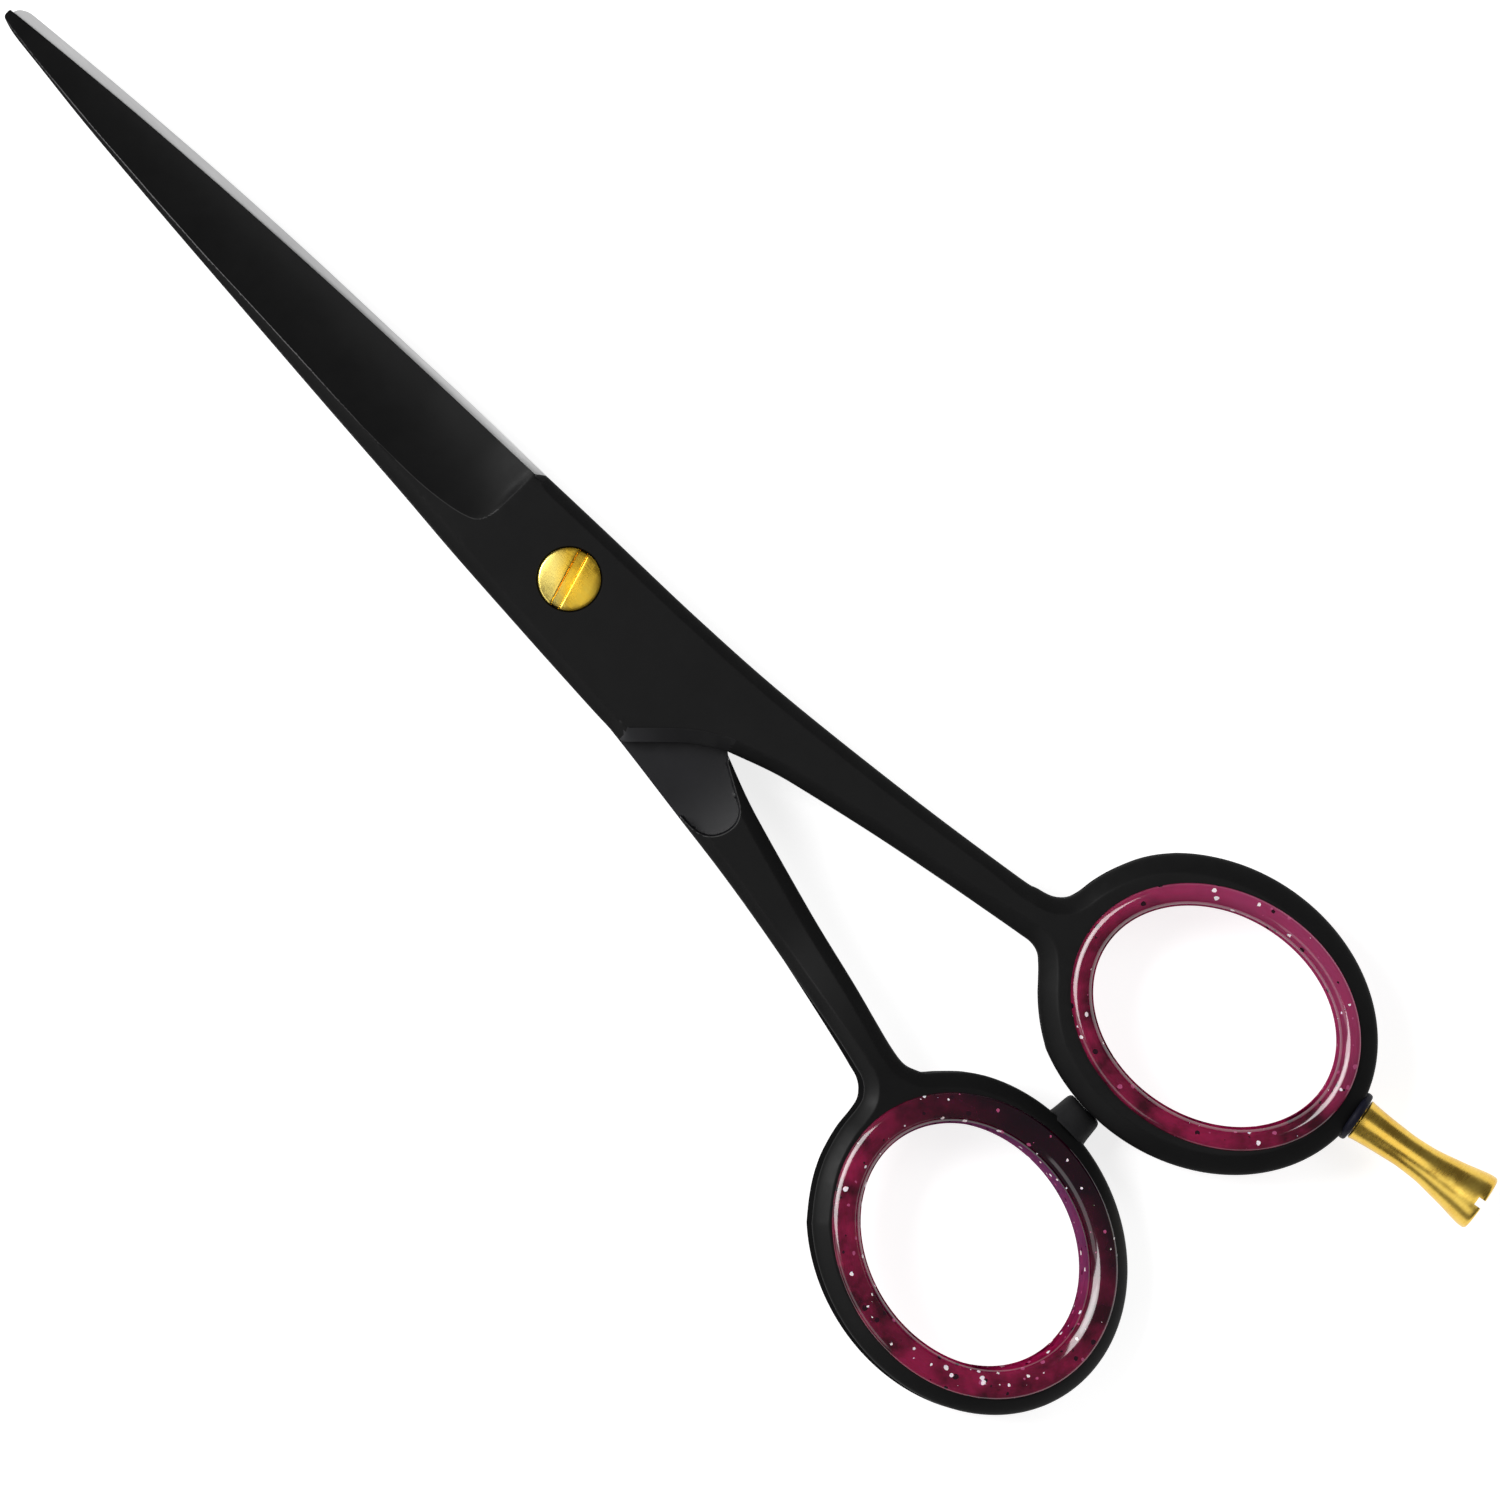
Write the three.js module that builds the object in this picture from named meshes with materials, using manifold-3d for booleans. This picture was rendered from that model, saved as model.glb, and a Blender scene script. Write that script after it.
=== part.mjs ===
// Hair cutting shears, 165 mm from blade tip to ring end, lying flat and closed.
// +Z is up through the thickness, +X points to the blade tips and +Y to the thumb ring.
// The origin is where the pivot axis meets the back face of the thumb half. Millimetres.
//
// Two lapped halves turn about a slotted tension screw. Each half is one forging:
// blade, pivot plate, shank and finger ring. Both are built in the same "half frame",
// with the outer face up and the outer edge of the shank at -Y. The finger half lies
// in it as built, and the thumb half is turned half a turn about X to meet it.

import * as THREE from "three";
import { TessellateModifier } from "three/addons/modifiers/TessellateModifier.js";
import { mergeVertices } from "three/addons/utils/BufferGeometryUtils.js";
import Module from "manifold-3d";

const wasm = await Module();
wasm.setup();

// ---- Driving dimensions -------------------------------------------------------------

const THICKNESS = 5.4; // over both halves at the pivot, and of each shank and ring
const RIDE_GAP = 0.1; // between the two inner faces
const MID = THICKNESS / 2;
const INNER_FACE = MID + RIDE_GAP / 2; // of a half in its half frame
const EDGE_ROUND = 0.9; // rounding of the outer edges of plate, shank and ring
const RUN = 0.1; // radial clearance of a turning or pressed round piece
const SEAT = 0.12; // clearance of a piece that sits on a flat

// Blade, by stations along X from its root inside the pivot plate to the tip
const ROOT_X = 7;
const PLATE_END_X = 9.4; // the ground blade starts here, with a small step at the edge
const PLATE_START_X = PLATE_END_X + 3; // the plate is drawn this far and trimmed back
const TIP_HEIGHT = 0.85; // blade thickness at the tip
const EDGE_LAND = 0.12; // thickness left at the cutting edge
const GRIND_RUNOUT = 4; // length over which the hollow reaches its full depth
const SPINE_WALL = 0.55; // share of the blade thickness that the upright spine takes
const BLADE_STATIONS = 22;

// Rings: the outer oval, and the wall of the soft insert in the bore
const RING_A = 17.3; // half length of the outer oval
const RING_B = 14.4; // half width
const INSERT_WALL = 1.15; // from the opening to the steel bore
const RING_STEPS = 48;
const OUTLINE_STEP = 1.6; // spacing of the points along the outline of a half

// Pivot
const SCREW_HEAD_R = 3.0;
const SCREW_HEAD_HEIGHT = 1.4;
const SCREW_HEAD_PROUD = 0.35;
const SCREW_SLOT = { width: 1.05, depth: 0.65, angle: THREE.MathUtils.degToRad(107) };
const SCREW_SHOULDER_R = 1.5;
const SCREW_THREAD_R = 1.35;
const COUNTERBORE_R = 3.15;
const COUNTERBORE_FLOOR = 3.8;
const BUSHING_R = 2.0;
const WASHER_R = 2.9;
const WASHER_THICKNESS = 0.3;

// Finger rest, turned about its own axis, which leaves the far end of the finger ring
const REST_LENGTH = 14.2;
const REST_TURN = 0.18; // from the X axis
const REST_ROOT_R = 2.1;
const REST_WAIST_R = 1.7;
const REST_FLARE_R = 2.9;
const REST_SLOT = { width: 0.85, depth: 0.75 };
const STUD_R = 1.25;
const STUD_LENGTH = 2.4;
const COLLAR_R = 2.55;
const COLLAR_THICKNESS = 0.95;
const COLLAR_SEAT = RING_A - 0.5; // from the ring's centre

// Bumper, a rubber button on the thumb ring that meets the finger ring
const BUMPER = { baseR: 2.35, tipR: 1.95, height: 2.85, stemR: 0.8, stemLength: 1.3 };
const BUMPER_X = 0.95; // of its axis, from the thumb ring's centre
const BUMPER_SEAT = RING_B - 0.35; // from that centre

// Each half's outline in the half frame. outer runs from the plate's front corner down
// the outside of the shank to its ring, inner runs from the ring up the inside of the
// shank and round the lap edge to its corner, and spine is the rest of the plate's side.
// The ring's oval shows between the angles from and to. bore is the opening in the insert.
const FINGER = {
  outer: [
    [PLATE_START_X, -5.3], [0, -5.7], [-11.4, -6.08], [-22.9, -6.86], [-38.1, -8.67],
    [-50.27, -10.5], [-52.33, -11.02], [-54.05, -11.6], [-55.11, -12.69], [-55.4, -13.74],
    [-55.58, -15.17], [-56.48, -18.3], [-58.17, -21.46],
  ],
  inner: [
    [-62.33, -1.77], [-60.93, -2.79], [-59.64, -3.93], [-58.59, -5.03], [-57.65, -5.98],
    [-56.75, -6.7], [-55.66, -6.95], [-54.41, -6.77], [-51.8, -6.3], [-45.8, -5.17],
    [-38.1, -3.6], [-30.5, -1.83], [-26.7, -0.81],
    [-22.3, 0.83], [-19.7, 2.4], [-17.9, 3.98], [-15.8, 6.06], [-14.6, 7.3],
  ],
  spine: [[0, 6.69], [PLATE_START_X, 5.95]],
  ring: { x: -72.2, y: -14, turn: 0.195, from: -0.883, to: 0.902 },
  bore: { x: -73.03, y: -14.48, a: 12.4, b: 9.72, turn: 0.21 },
  lip: 2.2, // width of the insert's rim
  tilt: { angle: 0, towards: [1, 0] },
  tip: 76.3,
  bladeSpine: [6.2, 5.22, 3.93, 2.48, 1.14, 0.5],
  bladeEdge: [-4.8, -4.19, -3.22, -1.83, -0.55, -0.38],
  scoop: { x: -24, y: -3.6, length: 3.6, width: 3.1, turn: 0.2 },
};
const THUMB = {
  outer: [
    [PLATE_START_X, -5.75], [0, -6.55], [-11.4, -7.15], [-22.9, -8.5], [-30.5, -9.44],
    [-38.1, -10.66], [-45.8, -12.15], [-49.85, -13.02], [-52, -13.55], [-53.59, -14.11],
    [-54.66, -15.34], [-54.91, -16.57], [-55.08, -18.3], [-55.48, -20.07], [-56.1, -21.88],
    [-57.02, -23.66], [-58.24, -25.41],
  ],
  inner: [
    [-59.89, -6.3], [-58.15, -8.01], [-57.13, -9.14], [-56.36, -9.6], [-55.01, -10.03],
    [-53.05, -9.79], [-50.27, -9.07], [-45.8, -7.79], [-38.1, -5.81], [-30.5, -3.74], [-26.7, -2.59],
    [-22.6, -1.05], [-19.7, 1.2], [-17.5, 3.3], [-15.5, 5.2], [-14.4, 6.1],
  ],
  spine: [[0, 5.6], [PLATE_START_X, 5.25]],
  ring: { x: -71.7, y: -17.5, turn: 0.205, from: -0.959, to: 0.753 },
  bore: { x: -72.11, y: -17.48, a: 12.42, b: 9.98, turn: 0.165 },
  lip: 3,
  tilt: { angle: THREE.MathUtils.degToRad(9), towards: [-0.703, 0.711] },
  tip: 75.9,
  bladeSpine: [5.42, 4.94, 4.12, 2.78, 1.48, 0.95],
  bladeEdge: [-4.9, -4.3, -3.15, -1.8, -0.5, -0.2],
  scoop: { x: -24.2, y: -5.4, length: 3.5, width: 3.1, turn: 0.2 },
};
const BLADE_KNOTS = [ROOT_X, 22.9, 41.9, 61, 74.4]; // the last knot is the half's own tip
const TILT_FROM_X = -38; // a tilted ring bends its shank between these two
const TILT_TO_X = -54;
const TILT_FACET = 5; // longest edge of the faces that bend

// ---- Materials ----------------------------------------------------------------------

const steel = (color, roughness, metalness) =>
  new THREE.MeshStandardMaterial({ color, roughness, metalness });
const BLACK_COAT = steel(0x1d1d1e, 0.45, 0.3);
const GOLD = steel(0xd9ab3a, 0.3, 1);
const BURGUNDY = steel(0x8c1440, 0.15, 0);
const NAVY_RUBBER = steel(0x14151f, 0.7, 0);
const GREY_RUBBER = steel(0x37383a, 0.8, 0);
const NYLON = steel(0xe8e4d8, 0.5, 0);
const SPRING_STEEL = steel(0xa8abb0, 0.35, 1);

// ---- Solid helpers ------------------------------------------------------------------

function toSolid(geometry) {
  const bare = geometry.clone();
  bare.deleteAttribute("normal");
  bare.deleteAttribute("uv");
  const merged = mergeVertices(bare, 1e-4);
  return new wasm.Manifold(
    new wasm.Mesh({
      numProp: 3,
      vertProperties: new Float32Array(merged.attributes.position.array),
      triVerts: new Uint32Array(merged.index.array),
    }),
  );
}

function toGeometry(solid) {
  const mesh = solid.getMesh();
  const geometry = new THREE.BufferGeometry();
  geometry.setAttribute("position", new THREE.BufferAttribute(mesh.vertProperties, 3));
  geometry.setIndex(new THREE.BufferAttribute(mesh.triVerts, 1));
  const faceted = geometry.toNonIndexed();
  faceted.computeVertexNormals();
  return faceted;
}

function piece(name, solid, material) {
  const mesh = new THREE.Mesh(toGeometry(solid), material);
  mesh.name = name;
  return mesh;
}

// A shape raised from z = low to z = high, with both edges rounded by round
function plate(shape, low, high, round = 0) {
  const geometry = new THREE.ExtrudeGeometry(shape, {
    depth: high - low - 2 * round,
    bevelEnabled: round > 0,
    bevelThickness: round,
    bevelSize: round,
    bevelOffset: -round,
    bevelSegments: 2,
    curveSegments: RING_STEPS / 2,
  });
  return geometry.translate(0, 0, low + round);
}

// A cylinder about Z between two heights
function post(radius, low, high, steps = RING_STEPS) {
  const geometry = new THREE.CylinderGeometry(radius, radius, high - low, steps);
  return toSolid(geometry.rotateX(Math.PI / 2).translate(0, 0, (low + high) / 2));
}

// A profile of [radius, height] points turned about Z
function turned(profile, steps = RING_STEPS) {
  const points = profile.map(([r, z]) => new THREE.Vector2(r, z));
  return toSolid(new THREE.LatheGeometry(points, steps).rotateX(Math.PI / 2));
}

function box(width, depth, low, high) {
  const geometry = new THREE.BoxGeometry(width, depth, high - low);
  return toSolid(geometry.translate(0, 0, (low + high) / 2));
}

// A solid moved so that its Z axis lies along a direction in the XY plane
function laidAlong(solid, angle, x, y, z) {
  const turn = new THREE.Matrix4().makeBasis(
    new THREE.Vector3(-Math.sin(angle), Math.cos(angle), 0),
    new THREE.Vector3(0, 0, 1),
    new THREE.Vector3(Math.cos(angle), Math.sin(angle), 0),
  );
  turn.setPosition(x, y, z);
  return solid.transform(turn.elements);
}

// Closed rings of points, joined ring to ring and capped at both ends
function loft(sections) {
  const count = sections[0].length;
  const positions = sections.flat(2);
  const faces = [];
  for (let s = 0; s + 1 < sections.length; s++) {
    for (let i = 0; i < count; i++) {
      const a = s * count + i;
      const b = s * count + ((i + 1) % count);
      faces.push(a, b, b + count, a, b + count, a + count);
    }
  }
  const last = (sections.length - 1) * count;
  for (let i = 1; i + 1 < count; i++) {
    faces.push(0, i + 1, i, last, last + i, last + i + 1);
  }
  const geometry = new THREE.BufferGeometry();
  geometry.setAttribute("position", new THREE.Float32BufferAttribute(positions, 3));
  geometry.setIndex(faces);
  return toSolid(geometry);
}

// A closed profile of [outwards, up] points swept round an oval of half sizes a and b
function sweptRound(profile, a, b) {
  const count = profile.length;
  const positions = [];
  const faces = [];
  for (let s = 0; s < RING_STEPS; s++) {
    const angle = (2 * Math.PI * s) / RING_STEPS;
    const next = ((s + 1) % RING_STEPS) * count;
    profile.forEach(([out, up], i) => {
      positions.push((a + out) * Math.cos(angle), (b + out) * Math.sin(angle), up);
      const j = (i + 1) % count;
      faces.push(s * count + i, next + i, next + j, s * count + i, next + j, s * count + j);
    });
  }
  const geometry = new THREE.BufferGeometry();
  geometry.setAttribute("position", new THREE.Float32BufferAttribute(positions, 3));
  geometry.setIndex(faces);
  return toSolid(geometry);
}

// ---- Outlines -----------------------------------------------------------------------

const vectors = (points) => points.map(([x, y]) => new THREE.Vector2(x, y));

function onRing(ring, angle) {
  const point = new THREE.Vector2(RING_A * Math.cos(angle), RING_B * Math.sin(angle));
  return point.rotateAround(new THREE.Vector2(), ring.turn).add(new THREE.Vector2(ring.x, ring.y));
}

// Evenly spaced points of a curve
function spaced(curve, step = OUTLINE_STEP) {
  return curve.getSpacedPoints(Math.max(3, Math.round(curve.getLength() / step)));
}

// Plate, shank and ring of a half, with the ring's bore as a hole
function handleShape({ outer, inner, spine, ring, bore }) {
  const outerEdge = [...vectors(outer), onRing(ring, ring.from)];
  const innerEdge = [onRing(ring, ring.to), ...vectors(inner)];
  const round = new THREE.EllipseCurve(
    ring.x, ring.y, RING_A, RING_B, ring.from, ring.to - 2 * Math.PI, true, ring.turn,
  );
  const hole = new THREE.EllipseCurve(
    bore.x, bore.y, bore.a + INSERT_WALL, bore.b + INSERT_WALL, 0, 2 * Math.PI, false, bore.turn,
  );
  const shape = new THREE.Shape([
    ...spaced(new THREE.SplineCurve(outerEdge)),
    ...spaced(round),
    ...spaced(new THREE.SplineCurve(innerEdge)),
    ...spaced(new THREE.SplineCurve(vectors([inner.at(-1), ...spine]))),
  ]);
  shape.holes.push(new THREE.Path(hole.getPoints(RING_STEPS)));
  return shape;
}

// What is milled away so that the halves can lap: everything under the plate, back to a
// round-ended scoop in the shank, and the plate in front of its end
function lapCutter({ scoop }) {
  const reach = 60;
  const field = new THREE.Shape();
  field.moveTo(scoop.x, -reach).lineTo(reach, -reach).lineTo(reach, reach).lineTo(scoop.x, reach);
  const tongue = new THREE.Shape();
  tongue.absellipse(scoop.x, scoop.y, scoop.length, scoop.width, 0, 2 * Math.PI, false, scoop.turn);
  const low = -THICKNESS;
  const trim = box(reach, reach, low, 2 * THICKNESS).translate([PLATE_END_X + reach / 2, 0, 0]);
  return toSolid(plate(field, low, INNER_FACE)).add(toSolid(plate(tongue, low, INNER_FACE))).add(trim);
}

// ---- One half -----------------------------------------------------------------------

// Bends the shank so that the ring beyond it lies in its tilted plane
function tiltRing(flat, { ring, tilt }) {
  if (tilt.angle === 0) return flat;
  const geometry = new TessellateModifier(TILT_FACET, 8).modify(flat);
  const axis = new THREE.Vector3(tilt.towards[1], -tilt.towards[0], 0);
  const centre = new THREE.Vector3(ring.x, ring.y, MID);
  const position = geometry.attributes.position;
  const point = new THREE.Vector3();
  for (let i = 0; i < position.count; i++) {
    point.fromBufferAttribute(position, i);
    const share = THREE.MathUtils.smoothstep(-point.x, -TILT_FROM_X, -TILT_TO_X);
    point.sub(centre).applyAxisAngle(axis, share * tilt.angle).add(centre);
    position.setXYZ(i, point.x, point.y, point.z);
  }
  return geometry;
}

function bladeSection(x, spine, edge) {
  const along = THREE.MathUtils.clamp((x - PLATE_END_X) / (76 - PLATE_END_X), 0, 1);
  const height = THREE.MathUtils.lerp(THICKNESS - INNER_FACE, TIP_HEIGHT, along);
  const facet = Math.min(1.25, 0.12 + 1.4 * (1 - along) ** 0.6, (spine - edge) * 0.3);
  const ground = THREE.MathUtils.smoothstep(x, PLATE_END_X, PLATE_END_X + GRIND_RUNOUT);
  const ridge = spine - facet;
  const hollow = (share) => {
    const fall = (height - EDGE_LAND) * (1 - (1 - share) ** 1.35);
    return [x, THREE.MathUtils.lerp(ridge, edge, share), INNER_FACE + height - ground * fall];
  };
  const edgeTop = THREE.MathUtils.lerp(height - EDGE_ROUND, EDGE_LAND, ground);
  return [
    [x, spine, INNER_FACE],
    [x, spine, INNER_FACE + SPINE_WALL * height],
    [x, ridge, INNER_FACE + height],
    hollow(0.35),
    hollow(0.7),
    [x, edge, INNER_FACE + edgeTop],
    [x, edge, INNER_FACE],
  ];
}

function blade({ tip, bladeSpine, bladeEdge }) {
  const knots = [...BLADE_KNOTS, tip];
  const curve = (ys) => new THREE.SplineCurve(knots.map((x, i) => new THREE.Vector2(x, ys[i])));
  const spine = curve(bladeSpine).getPoints(BLADE_STATIONS);
  const edge = curve(bladeEdge).getPoints(BLADE_STATIONS);
  const sections = spine.map((point, i) => bladeSection(point.x, point.y, edge[i].y));
  return loft(sections);
}

function half(data) {
  const handle = toSolid(tiltRing(plate(handleShape(data), 0, THICKNESS, EDGE_ROUND), data));
  return handle.subtract(lapCutter(data)).add(blade(data));
}

function insert({ lip, bore }) {
  const wall = INSERT_WALL - SEAT;
  const rim = MID + SEAT; // underside of a rim, just clear of the ring's face
  const drop = EDGE_ROUND * (1 - Math.SQRT1_2); // of the steel's rounding at its middle
  const upper = [
    [wall, MID - EDGE_ROUND],
    [wall + drop + 0.03, MID - drop + SEAT - 0.03],
    [INSERT_WALL + EDGE_ROUND, rim],
    [lip, rim],
    [lip - 0.15, rim + 0.25],
    [lip - 0.8, rim + 0.4],
    [0.7, rim + 0.1],
    [0.15, MID - 1],
  ];
  const lower = upper.map(([out, up]) => [out, -up]).reverse();
  return sweptRound([...upper, [0, 0], ...lower], bore.a, bore.b);
}

// ---- Pivot --------------------------------------------------------------------------

function pivotScrew() {
  const top = THICKNESS + SCREW_HEAD_PROUD;
  const under = top - SCREW_HEAD_HEIGHT;
  const body = turned([
    [0, 0], [SCREW_THREAD_R - 0.2, 0], [SCREW_THREAD_R, 0.2], [SCREW_THREAD_R, MID - 0.1],
    [SCREW_SHOULDER_R, MID], [SCREW_SHOULDER_R, under], [SCREW_HEAD_R, under],
    [SCREW_HEAD_R, top - 0.2], [SCREW_HEAD_R - 0.2, top], [0, top],
  ]);
  const slot = box(4 * SCREW_HEAD_R, SCREW_SLOT.width, top - SCREW_SLOT.depth, top + 1);
  const degrees = THREE.MathUtils.radToDeg(SCREW_SLOT.angle);
  return body.subtract(slot.rotate([0, 0, degrees]));
}

function pivotBushing() {
  const outside = post(BUSHING_R, INNER_FACE, COUNTERBORE_FLOOR - SEAT);
  return outside.subtract(post(SCREW_SHOULDER_R + RUN, 0, THICKNESS));
}

function tensionWasher() {
  const low = COUNTERBORE_FLOOR + SEAT;
  const outside = post(WASHER_R, low, low + WASHER_THICKNESS);
  return outside.subtract(post(SCREW_SHOULDER_R + RUN, 0, THICKNESS));
}

// ---- Finger rest and bumper, each built about +Z with its seat at z = 0 ---------------

function fingerRest() {
  const root = COLLAR_THICKNESS + SEAT;
  const end = root + REST_LENGTH;
  const waist = new THREE.SplineCurve(
    vectors([
      [REST_ROOT_R, root + 0.2], [REST_WAIST_R + 0.1, root + 3.4], [REST_WAIST_R, root + 6],
      [REST_WAIST_R + 0.35, root + 9.2], [REST_FLARE_R, end - 0.7],
    ]),
  );
  const body = turned([
    [0, -STUD_LENGTH], [STUD_R - 0.2, -STUD_LENGTH], [STUD_R, 0.2 - STUD_LENGTH], [STUD_R, root],
    [REST_ROOT_R - 0.2, root], ...waist.getPoints(14).map(({ x, y }) => [x, y]),
    [REST_FLARE_R, end - 0.3], [REST_FLARE_R - 0.3, end], [0, end],
  ]);
  return body.subtract(box(REST_SLOT.width, 4 * REST_FLARE_R, end - REST_SLOT.depth, end + 1));
}

function restCollar() {
  const round = 0.3;
  const ring = turned([
    [0, SEAT], [COLLAR_R - round, SEAT], [COLLAR_R, SEAT + round],
    [COLLAR_R, COLLAR_THICKNESS - round], [COLLAR_R - round, COLLAR_THICKNESS], [0, COLLAR_THICKNESS],
  ]);
  return ring.subtract(post(STUD_R + RUN, -1, REST_LENGTH));
}

function bumper() {
  const { baseR, tipR, height, stemR, stemLength } = BUMPER;
  const round = 0.45;
  return turned([
    [0, -stemLength], [stemR, -stemLength], [stemR, SEAT], [baseR, SEAT], [baseR, SEAT + 0.35],
    [tipR + 0.1, height - 2 * round], [tipR, height - round], [tipR - round, height], [0, height],
  ]);
}

// ---- Assembly -----------------------------------------------------------------------

// Frame of a ring's plane in the half frame: centred on the ring, tilted with it
function ringFrame({ ring, tilt }) {
  const frame = new THREE.Group();
  frame.position.set(ring.x, ring.y, MID);
  const axis = new THREE.Vector3(tilt.towards[1], -tilt.towards[0], 0);
  frame.quaternion.setFromAxisAngle(axis, tilt.angle);
  return frame;
}

function insertAt(name, data) {
  const mesh = piece(name, insert(data), BURGUNDY);
  mesh.position.set(data.bore.x - data.ring.x, data.bore.y - data.ring.y, 0);
  mesh.rotation.z = data.bore.turn;
  return mesh;
}

function fingerSide() {
  const { ring } = FINGER;
  const seatX = ring.x - COLLAR_SEAT * Math.cos(ring.turn);
  const seatY = ring.y - COLLAR_SEAT * Math.sin(ring.turn);
  const away = REST_TURN + Math.PI; // the rest points away from the pivot
  const atSeat = (solid) => laidAlong(solid, away, seatX, seatY, MID);

  const steelHalf = half(FINGER)
    .subtract(post(BUSHING_R + RUN, 0, THICKNESS))
    .subtract(post(COUNTERBORE_R, COUNTERBORE_FLOOR, THICKNESS + 1))
    .subtract(atSeat(post(COLLAR_R + RUN, 0, 4)))
    .subtract(atSeat(post(STUD_R + RUN, -RING_A / 3, 1)));

  const frame = ringFrame(FINGER);
  frame.add(insertAt("finger_ring_insert", FINGER));

  const side = new THREE.Group();
  side.add(piece("finger_half", steelHalf, BLACK_COAT), frame);
  side.add(piece("finger_rest", atSeat(fingerRest()), GOLD));
  side.add(piece("finger_rest_collar", atSeat(restCollar()), NAVY_RUBBER));
  return side;
}

function thumbSide() {
  const frame = ringFrame(THUMB);
  frame.updateMatrix();
  const onRingPlane = (solid) => laidAlong(solid, Math.PI / 2, BUMPER_X, BUMPER_SEAT, 0);
  const inHalf = (solid) => onRingPlane(solid).transform(frame.matrix.elements);

  const steelHalf = half(THUMB)
    .subtract(post(SCREW_THREAD_R + RUN, 0, THICKNESS + 1))
    .subtract(inHalf(post(BUMPER.baseR + RUN, 0, 3)))
    .subtract(inHalf(post(BUMPER.stemR + RUN, -BUMPER.stemLength - 0.2, 1)));

  frame.add(insertAt("thumb_ring_insert", THUMB));
  frame.add(piece("bumper", onRingPlane(bumper()), GREY_RUBBER));

  const side = new THREE.Group();
  side.add(piece("thumb_half", steelHalf, BLACK_COAT), frame);
  side.rotation.x = Math.PI;
  side.position.z = THICKNESS;
  return side;
}

const shears = new THREE.Group();
shears.add(fingerSide(), thumbSide());
shears.add(piece("pivot_screw", pivotScrew(), GOLD));
shears.add(piece("pivot_bushing", pivotBushing(), NYLON));
shears.add(piece("tension_washer", tensionWasher(), SPRING_STEEL));

export default shears;
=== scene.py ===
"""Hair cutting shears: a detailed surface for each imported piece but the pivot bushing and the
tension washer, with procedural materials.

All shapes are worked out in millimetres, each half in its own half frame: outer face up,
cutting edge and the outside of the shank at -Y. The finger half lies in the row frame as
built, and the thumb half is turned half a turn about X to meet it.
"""
import math

import bpy
import numpy as np
from mathutils import Matrix, Vector
from mathutils.geometry import delaunay_2d_cdt


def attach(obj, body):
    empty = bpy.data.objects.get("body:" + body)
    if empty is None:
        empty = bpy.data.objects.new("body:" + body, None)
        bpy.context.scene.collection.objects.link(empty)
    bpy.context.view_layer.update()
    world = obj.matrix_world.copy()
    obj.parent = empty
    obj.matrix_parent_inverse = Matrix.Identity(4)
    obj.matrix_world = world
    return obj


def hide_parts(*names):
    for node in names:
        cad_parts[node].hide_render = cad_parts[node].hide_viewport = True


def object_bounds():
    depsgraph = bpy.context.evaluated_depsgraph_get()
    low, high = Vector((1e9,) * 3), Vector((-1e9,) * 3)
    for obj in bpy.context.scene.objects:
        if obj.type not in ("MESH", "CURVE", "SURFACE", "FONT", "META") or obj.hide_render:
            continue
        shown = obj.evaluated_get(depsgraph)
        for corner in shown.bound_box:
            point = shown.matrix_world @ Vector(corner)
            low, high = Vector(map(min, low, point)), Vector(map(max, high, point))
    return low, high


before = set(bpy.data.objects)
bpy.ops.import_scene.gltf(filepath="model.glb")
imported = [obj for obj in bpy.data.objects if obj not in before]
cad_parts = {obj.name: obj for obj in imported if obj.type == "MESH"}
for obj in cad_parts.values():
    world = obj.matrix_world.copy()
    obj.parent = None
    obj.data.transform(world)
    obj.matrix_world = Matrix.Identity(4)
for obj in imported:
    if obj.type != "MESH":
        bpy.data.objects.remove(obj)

CAD_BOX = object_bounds()
MM = 0.001

# ---- Dimensions, in millimetres, as in the CAD ----------------------------------------

THICKNESS = 5.4
MID = THICKNESS / 2
INNER_FACE = 2.75
PLATE_END_X = 9.4
TIP_X = 76
TIP_HEIGHT = 0.85
EDGE_LAND = 0.12
RING_A, RING_B = 17.3, 14.4
INSERT_WALL = 1.15
HEAD_R = 3.05
HEAD_TOP = THICKNESS + 0.35
HEAD_UNDER = HEAD_TOP - 1.4
HEAD_ROUND = 0.24  # of the head's rim
HEAD_CROWN = 0.16
SEAT = 0.12  # clearance of a piece that sits on a flat
BORE_ROUND = 0.9  # of a ring's opening, at both faces
COUNTERBORE_DEPTH = THICKNESS - 3.8
COUNTERBORE_RADII = (3.09, 3.11, 3.18)  # foot and top of its wall, and its broken edge
TOUCH_GAP = 0.004  # between the bumper and the finger ring that it stops against
COLLAR_SEAT = RING_A - 0.5
COLLAR_R = 2.55
COLLAR_THICKNESS = 0.95
REST_LENGTH = 14.2
REST_TURN = 0.18
REST_SLOT_WIDTH, REST_SLOT_DEPTH = 0.85, 0.75
BUMPER_TOP = 2.86
TILT_FROM_X, TILT_TO_X = 38, 54  # along -X

SLOT_TURN = math.radians(107)
# Half of the screw slot's section: distance from its middle line, and depth there.
SLOT_ACROSS = (0.4, 0.43, 0.46, 0.5, 0.56, 0.62)
SLOT_DEPTH = (0.65, 0.2, 0.11, 0.055, 0.015, 0)

OUTLINE_STEP = 0.4
SPINE_BEVEL = ([-12, 9, 28, 33, 40, 46, 56, 64, 71, 76],
               [1.15, 1.3, 1.18, 1.06, 0.85, 0.62, 0.45, 0.3, 0.18, 0.1])
SHANK_TO_RING = (48, 58)  # where, along -X, the shank's bevels turn into the ring's
LAP_BEVEL = (1.35, 0.5)  # width and height
# Rows of points along an outer edge: 0 is the inner side of its bevel, 1 the outline.
ROUND_ROWS = (-0.12, -0.05, 0.02, 0.1, 0.3, 0.55, 0.75, 0.88, 0.96)
BEVEL_CRISP = 0.75  # share of a bevel that is a plain chamfer
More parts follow.
